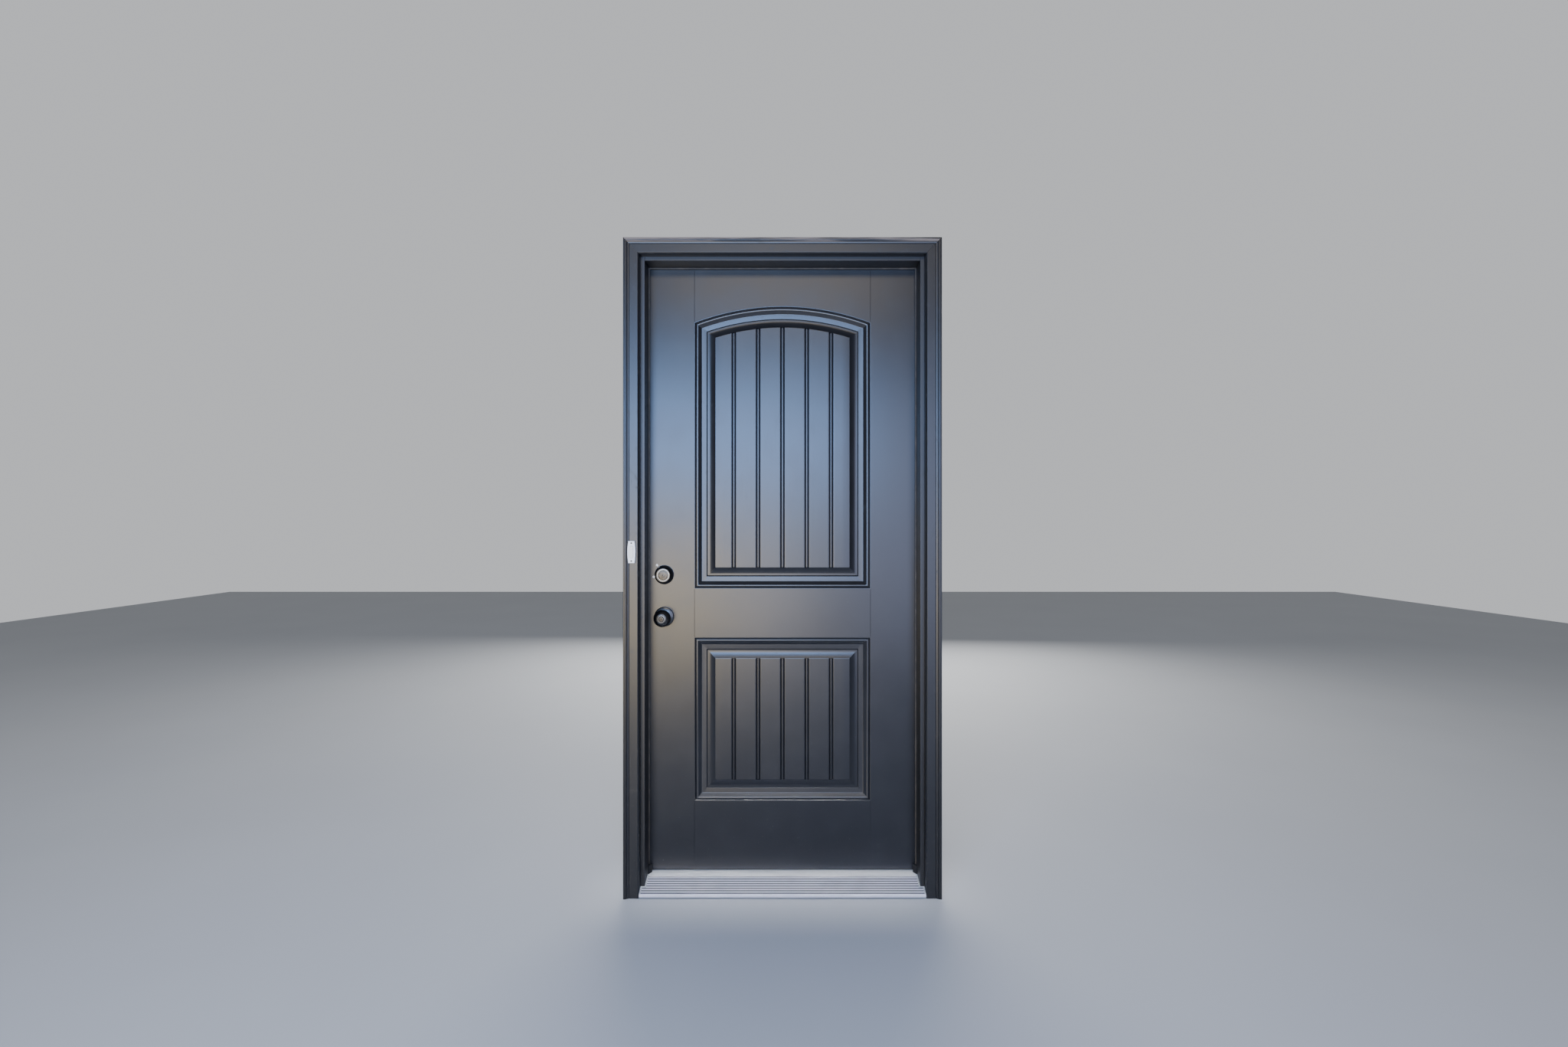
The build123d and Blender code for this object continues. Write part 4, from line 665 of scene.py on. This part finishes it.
paint = leaf_paint.mix(chips, paint, tint(214, 212, 206))
leaf_paint.surface({
    "Base Color": paint,
    "Roughness": 0.295 + 0.03 * haze + 0.12 * dust,
    "Normal": leaf_paint.bump(peel, 0.00005, 0.6),
})
bm = moulded_skin(False)
finished("exterior_skin_face", metres(bm), "leaf", leaf_paint, "exterior_skin", 30)
bm = moulded_skin(True)
bmesh.ops.scale(bm, vec=(1, -1, 1), verts=bm.verts, space=Matrix.Translation((0, -middle_y, 0)))
bmesh.ops.reverse_faces(bm, faces=bm.faces)
finished("interior_skin_face", metres(bm), "leaf", leaf_paint, "interior_skin", 30)

# Leaf core: timber stiles and top rail, a composite bottom rail, a lock block and rigid foam
# between the skins. The timber edges are painted with the faces, and a vinyl sweep hangs below.
edge_paint = weathered_paint("edge_paint", "Z", 0.45)
dressed(edge_paint, "latch_stile", "hinge_stile", "top_rail", "lock_block")
dressed(composite, "bottom_rail")

foam = Finish("core_foam", {"Roughness": 0.95})
foam.surface({
    "Base Color": foam.mix(foam.noise(400.0, 4.0), tint(214, 200, 156), tint(232, 221, 184)),
    "Normal": foam.bump(foam.noise(1200.0, 2.0), 0.0003, 0.7),
})
dressed(foam, "foam_core")
sweep_vinyl = Finish("sweep_vinyl", {"Roughness": 0.5})
sweep_vinyl.surface({
    "Base Color": sweep_vinyl.mix(sweep_vinyl.noise(90.0, 3.0), tint(18, 18, 19), tint(30, 29, 28)),
    "Roughness": 0.42 + 0.2 * sweep_vinyl.noise(40.0, 3.0),
})
dressed(sweep_vinyl, "door_sweep")

# Hinges: three pressed steel butt hinges in satin nickel. Each leaf is let in flush and held
# by four countersunk screws, and the five knuckles turn on a loose pin with a button head.
hinge_steel = Finish("hinge_steel", {"Metallic": 1.0, "Roughness": 0.34})
scuff = hinge_steel.noise(60.0, 5.0, (1, 1, 6.0))
hinge_steel.surface({
    "Base Color": hinge_steel.mix(scuff, tint(160, 158, 152), tint(186, 184, 178)),
    "Roughness": 0.26 + 0.2 * scuff,
    "Normal": hinge_steel.bump(hinge_steel.noise(700.0, 2.0, (1, 1, 0.1)), 0.00004, 0.5),
})
for height in ("top", "middle", "bottom"):
    softened(f"jamb_hinge_leaf_{height}", "frame", hinge_steel, 0.3, 35)
    softened(f"door_hinge_leaf_{height}", "leaf", hinge_steel, 0.3, 35)
dressed(hinge_steel, "hinge_pins")

screw_steel = Finish("screw_steel", {"Metallic": 1.0, "Roughness": 0.32})
rub = screw_steel.noise(500.0, 4.0)
screw_steel.surface({
    "Base Color": screw_steel.mix(rub, tint(168, 166, 158), tint(206, 205, 200)),
    "Roughness": 0.22 + 0.24 * rub,
})
dressed(
    screw_steel, "jamb_hinge_screws", "door_hinge_screws", "strike_screws", "faceplate_screws",
    "mounting_screws", "latch_case", "deadbolt_case", "knob_spindle", "tailpiece",
)

# Lock plates and bolts: satin nickel strikes in the jamb, faceplates in the leaf's edge, a
# bevelled spring latch and a square deadbolt, each plate held by two countersunk screws.
nickel = Finish("satin_nickel", {"Metallic": 1.0, "Roughness": 0.3})
brushed = nickel.noise(260.0, 4.0, (1, 1, 1))
tarnish = nickel.ramp(nickel.noise(70.0, 4.0), 0.45, 0.8)
shade = nickel.mix(brushed, tint(158, 153, 144), tint(182, 178, 168))
shade = nickel.mix(tarnish * 0.4, shade, tint(150, 140, 124))
nickel.surface({
    "Base Color": shade,
    "Roughness": 0.26 + 0.14 * brushed + 0.12 * tarnish,
    "Normal": nickel.bump(brushed, 0.00004, 0.5),
})
for node, body in (
    ("latch_strike_plate", "frame"), ("deadbolt_strike_plate", "frame"), ("latch_faceplate", "leaf"),
    ("deadbolt_faceplate", "leaf"), ("latch_bolt", "latch"), ("deadbolt", "bolt"),
):
    softened(node, body, nickel, 0.25, 35)

# Knob set: turned knobs and domed roses in satin black, with a satin nickel cylinder in the
# street knob. One square spindle joins the knobs, and two screws hold the roses to the leaf.
lock_black = Finish("lock_black", {"Roughness": 0.3, "Coat Weight": 0.7, "Coat Roughness": 0.16})
worn = lock_black.ramp(lock_black.noise(45.0, 5.0), 0.55, 0.8)
handled = lock_black.noise(25.0, 4.0)
lock_black.surface({
    "Base Color": lock_black.mix(worn * 0.4, tint(17, 17, 19), tint(36, 35, 34)),
    "Roughness": 0.24 + 0.12 * handled + 0.1 * worn,
    "Normal": lock_black.bump(lock_black.noise(900.0, 2.0), 0.00003, 0.5),
})


def turned(outline, centre, outward, steps=96):
    """Turn an outline of (radius, reach) points round a lock's axis, out of the leaf's face."""
    bm = bmesh.new()
    x, y, z = centre
    rim = [bm.verts.new((x + radius, y + outward * reach, z)) for radius, reach in outline]
    bmesh.ops.spin(
        bm, geom=[*rim, *joined(bm, rim)], cent=centre, axis=(0, 1, 0), angle=2 * pi,
        steps=steps, use_merge=True,
    )
    bmesh.ops.remove_doubles(bm, verts=bm.verts, dist=0.001)
    bmesh.ops.recalc_face_normals(bm, faces=bm.faces)
    return bm


def curve(start, leaving, end, arriving, steps):
    """Points between two ends of a smooth curve, with its directions there, without the ends."""
    start, leaving, end, arriving = (Vector(pair) for pair in (start, leaving, end, arriving))
    points = []
    for step in range(1, steps):
        t = step / steps
        near, far = 2 * t ** 3 - 3 * t ** 2 + 1, 3 * t ** 2 - 2 * t ** 3
        points.append(tuple(
            start * near + leaving * (t ** 3 - 2 * t ** 2 + t)
            + end * far + arriving * (t ** 3 - t ** 2)
        ))
    return points


inside_y = 116.0


def knob_outline(pocket):
    """Half section of a knob: neck, swelling body, soft front edge, and a round pocket."""
    return rounded([
        (0.0, 1.5), (15.5, 1.5, 0.5), (15.5, 15.0),
        *curve((15.5, 15), (6, 22), (28.5, 41), (0, 22), 9),
        (28.5, 41.0),
        *curve((28.5, 41), (0, 19), (pocket, 59), (-19, 3.2), 12),
        (pocket, 59.0, 0.5), (pocket, 31.0), (0.0, 31.0),
    ])


def rose_outline(hole, thickness):
    """Half section of a rose: a stepped edge under a shallow dome."""
    return rounded([
        (hole, 0.0), (33.0, 0.0), (33.0, 3.6, 1.0),
        *curve((32.4, 4.2), (-9, 3.4), (19, thickness), (-14, 2.2), 8),
        (19.0, thickness), (hole, thickness, 0.4),
    ])


for y, outward, pocket, rose, knob in (
    (face_y, -1, 13.7, "exterior_rose", "exterior_knob"),
    (inside_y, 1, 7.65, "interior_rose", "interior_knob"),
):
    centre = (lock_x, y, knob_z)
    bm = turned(rose_outline(15.9, 8.5), centre, outward)
    finished(f"{rose}_dome", metres(bm), "leaf", lock_black, rose, 40)
    bm = turned(knob_outline(pocket), centre, outward)
    finished(f"{knob}_body", metres(bm), "knob_set", lock_black, knob, 40)


def worn_nickel_with_painted_rings(name, z, highlight_rings, grime_and_shade_rings):
    """Satin nickel of a cylinder face. Its bright rings are painted highlights on its edges, and its
    dark rings are grime with painted shade in its crevices; each ring is (radius, half width) in mm.
    """
    finish = Finish(name, {"Metallic": 1.0, "Roughness": 0.42})
    polish = finish.noise(240.0, 4.0)
    stain = finish.ramp(finish.noise(150.0, 4.0), 0.4, 0.75)
    hollows = finish.ramp(finish.noise(420.0, 3.0), 0.35, 0.8)
    shade = finish.mix(polish, tint(84, 79, 71), tint(104, 99, 90))
    shade = finish.mix(stain * 0.45, shade, tint(70, 60, 47))
    shade = finish.mix(hollows * 0.3, shade, tint(46, 40, 32))
    flat = finish.node(
        "ShaderNodeVectorMath", {"operation": "MULTIPLY"}, {0: finish.place(), 1: (1, 0, 1)})
    axis = (lock_x / 1000, 0, z / 1000)
    radius = finish.node("ShaderNodeVectorMath", {"operation": "DISTANCE"}, {0: flat, 1: axis}, "Value")
    grime = 0.0
    # Bright rings are painted highlights; dark rings are grime with painted shade.
    for rings, colour in ((highlight_rings, tint(176, 172, 164)), (grime_and_shade_rings, tint(20, 18, 16))):
        for centre, half in rings:
            off = finish.node("ShaderNodeMath", {"operation": "ABSOLUTE"}, {0: radius - centre / 1000})
            share = 1 - finish.ramp(off, half * 0.0006, half * 0.001)
            shade = finish.mix(share * (0.45 + 0.5 * polish), shade, colour)
            if rings is grime_and_shade_rings:
                grime = share + grime
    finish.surface({
        "Base Color": shade,
        "Metallic": 1 - 0.8 * grime,
        "Roughness": 0.34 + 0.14 * polish + 0.12 * stain + 0.25 * grime,
        "Normal": finish.bump(polish, 0.00004, 0.5),
    })
    return finish


# The knob cylinder: a painted highlight ring on its rounded front edge, and dark rings of grime and
# painted shade at its steps.
knob_nickel = worn_nickel_with_painted_rings("knob_cylinder_nickel", knob_z, [(11.6, 1.5)], [(7.9, 1.3), (13.8, 0.6)])
cylinder_outline = rounded([
    (6.55, 31.0), (13.65, 31.0), (13.65, 57.6, 0.6),
    *curve((13.65, 57.6), (-0.6, 2.4), (9.9, 59.6), (-3, 0.1), 5),
    (9.9, 59.6), (9.1, 59.6, 0.3), (8.7, 57.8), (6.55, 57.8),
])
bm = turned(cylinder_outline, (lock_x, face_y, knob_z), -1)
finished("knob_cylinder_face", metres(bm), "knob_set", knob_nickel, "knob_cylinder", 40)


def ring_at(bm, radius, y, z, segments=64):
    """A circle of vertices round the lock's axis, facing the street."""
    place = Matrix.Translation((lock_x, y, z)) @ Matrix.Rotation(pi / 2, 4, "X")
    return bmesh.ops.create_circle(bm, segments=segments, radius=radius, matrix=place)["verts"]


def bored(bm, front_y, z, hole, sink, steps):
    """A turned body with a hole sunk into its front, or right through where it is as deep as
    the body. steps are (radius, depth) from the front, and a room side's depths are negative."""
    rim = ring_at(bm, steps[0][0], front_y, z)
    edges = joined(bm, rim) + joined(bm, hole)
    bmesh.ops.triangle_fill(bm, edges=edges, use_beauty=True, normal=(0, -1, 0))
    well = drawn_on(bm, hole, [(vertex.co.x, front_y + sink, vertex.co.z) for vertex in hole])
    spokes = [(vertex.co - Vector((lock_x, front_y, z))).normalized() for vertex in rim]
    chain = rim
    for radius, depth in steps[1:]:
        centre = Vector((lock_x, front_y + depth, z))
        chain = drawn_on(bm, chain, [centre + spoke * radius for spoke in spokes])
    if sink == steps[-1][1]:
        edges = joined(bm, chain) + joined(bm, well)
        bmesh.ops.triangle_fill(bm, edges=edges, use_beauty=True, normal=(0, -1, 0))
    else:
        bmesh.ops.contextual_create(bm, geom=well)
        bmesh.ops.contextual_create(bm, geom=chain)
    bmesh.ops.recalc_face_normals(bm, faces=bm.faces)
    return bm


def key_plug(front_y, back_y, z):
    """A round plug with a rounded front edge and a crooked keyway."""
    bm = bmesh.new()
    keyway = (
        (-1.1, 4.3), (0.5, 4.3), (0.5, 2.5), (1.2, 1.9), (1.2, 0.7), (0.4, 0.1), (0.4, -1.3),
        (1.2, -2.0), (1.2, -4.3), (-0.5, -4.3), (-0.5, -2.8), (-1.2, -2.2), (-1.2, -0.6),
        (-0.4, 0.0), (-0.4, 1.2), (-1.1, 1.8),
    )
    slot = [bm.verts.new((lock_x + a, front_y, z + b)) for a, b in keyway]
    length = back_y - front_y
    return bored(bm, front_y, z, slot, 9.0, [(6.15, 0), (6.4, 0.1), (6.5, 0.35), (6.5, length)])


bm = key_plug(face_y - 59.8, face_y - 31.4, knob_z)
finished("knob_key_plug_face", metres(bm), "knob_plug", knob_nickel, "knob_key_plug", 40)
softened("knob_turn_button", "knob_button", lock_black, 0.15, 40)

# Deadbolt: a hardened ring in satin black tapers out to a satin nickel cylinder face, with its
# plug a little below the middle. Inside, an oval thumb turn stands on a domed rose.
ring_outline = rounded([
    (21.0, 0.0), (32.0, 0.0), (32.0, 3.0, 1.0), *arc((32, 3), (22.6, 26), -1.6, 7),
    (22.6, 26.0, 0.8), (21.05, 26.0, 0.3),
])
bm = turned(ring_outline, (lock_x, face_y, bolt_z), -1)
finished("deadbolt_ring_body", metres(bm), "leaf", lock_black, "deadbolt_ring", 40)
plug_z = bolt_z - 3.5
# Dark rings of grime and painted shade at the deadbolt cylinder's steps and edges, and a painted
# highlight ring on its rim.
bolt_grime_and_shade_rings = [(16.9, 0.6), (13.2, 0.35), (21.0, 0.5)]
bolt_nickel = worn_nickel_with_painted_rings("bolt_cylinder_nickel", bolt_z, [(18.8, 1.6)], bolt_grime_and_shade_rings)
bm = bmesh.new()
cylinder_front = face_y - 25.0
bored(bm, cylinder_front, bolt_z, ring_at(bm, 6.6, cylinder_front, plug_z), 11.0, [
    (15.9, 0), (16.2, 0.1), (16.3, 0.4), (16.3, 1.7), (17.3, 1.7), (17.3, 0.9), (20.4, 0.8),
    (20.8, 0.95), (20.95, 1.4), (20.95, 25.0),
])
finished("deadbolt_cylinder_face", metres(bm), "leaf", bolt_nickel, "deadbolt_cylinder", 40)
bm = key_plug(face_y - 25.8, face_y - 0.4, plug_z)
finished(
    "deadbolt_key_plug_face", metres(bm), "bolt_plug", bolt_nickel, "deadbolt_key_plug", 40)
neck_hole, rose_depth = 8.05, 9.0
rose_front = inside_y + rose_depth
dome = [point for point in reversed(rose_outline(neck_hole, rose_depth)) if point[0] >= 19]
bm = bmesh.new()
bored(bm, rose_front, bolt_z, ring_at(bm, neck_hole, rose_front, plug_z), -rose_depth, [
    (radius, reach - rose_depth) for radius, reach in dome
])
finished("deadbolt_rose_dome", metres(bm), "leaf", lock_black, "deadbolt_rose", 40)
dressed(lock_black, "thumb_turn")

# Bell push: a white moulded base with bowed sides, held to the brickmould by a screw at each
# end. Its sprung push bar stands proud in a rounded slot and has yellowed a little with age.
bell_plastic = Finish("bell_plastic", {"Roughness": 0.3})
aged = bell_plastic.noise(60.0, 4.0)
bell_plastic.surface({
    "Base Color": bell_plastic.mix(aged, tint(249, 249, 248), tint(254, 254, 254)),
    "Roughness": 0.26 + 0.14 * aged,
})
bar_plastic = Finish("bell_bar_plastic", {"Roughness": 0.3, "Subsurface Weight": 0.05})
aged = bar_plastic.noise(80.0, 4.0)
bar_plastic.surface({
    "Base Color": bar_plastic.mix(aged, tint(240, 234, 222), tint(248, 244, 236)),
    "Roughness": 0.24 + 0.14 * aged,
})
dull_steel = Finish("bell_screw_steel", {"Metallic": 1.0, "Roughness": 0.5})
dull_steel.surface({
    "Base Color": dull_steel.mix(dull_steel.noise(600.0, 3.0), tint(70, 66, 62), tint(104, 99, 92)),
})
dressed(bell_plastic, "bell_base")
dressed(bar_plastic, "bell_button")
dressed(dull_steel, "bell_screws")
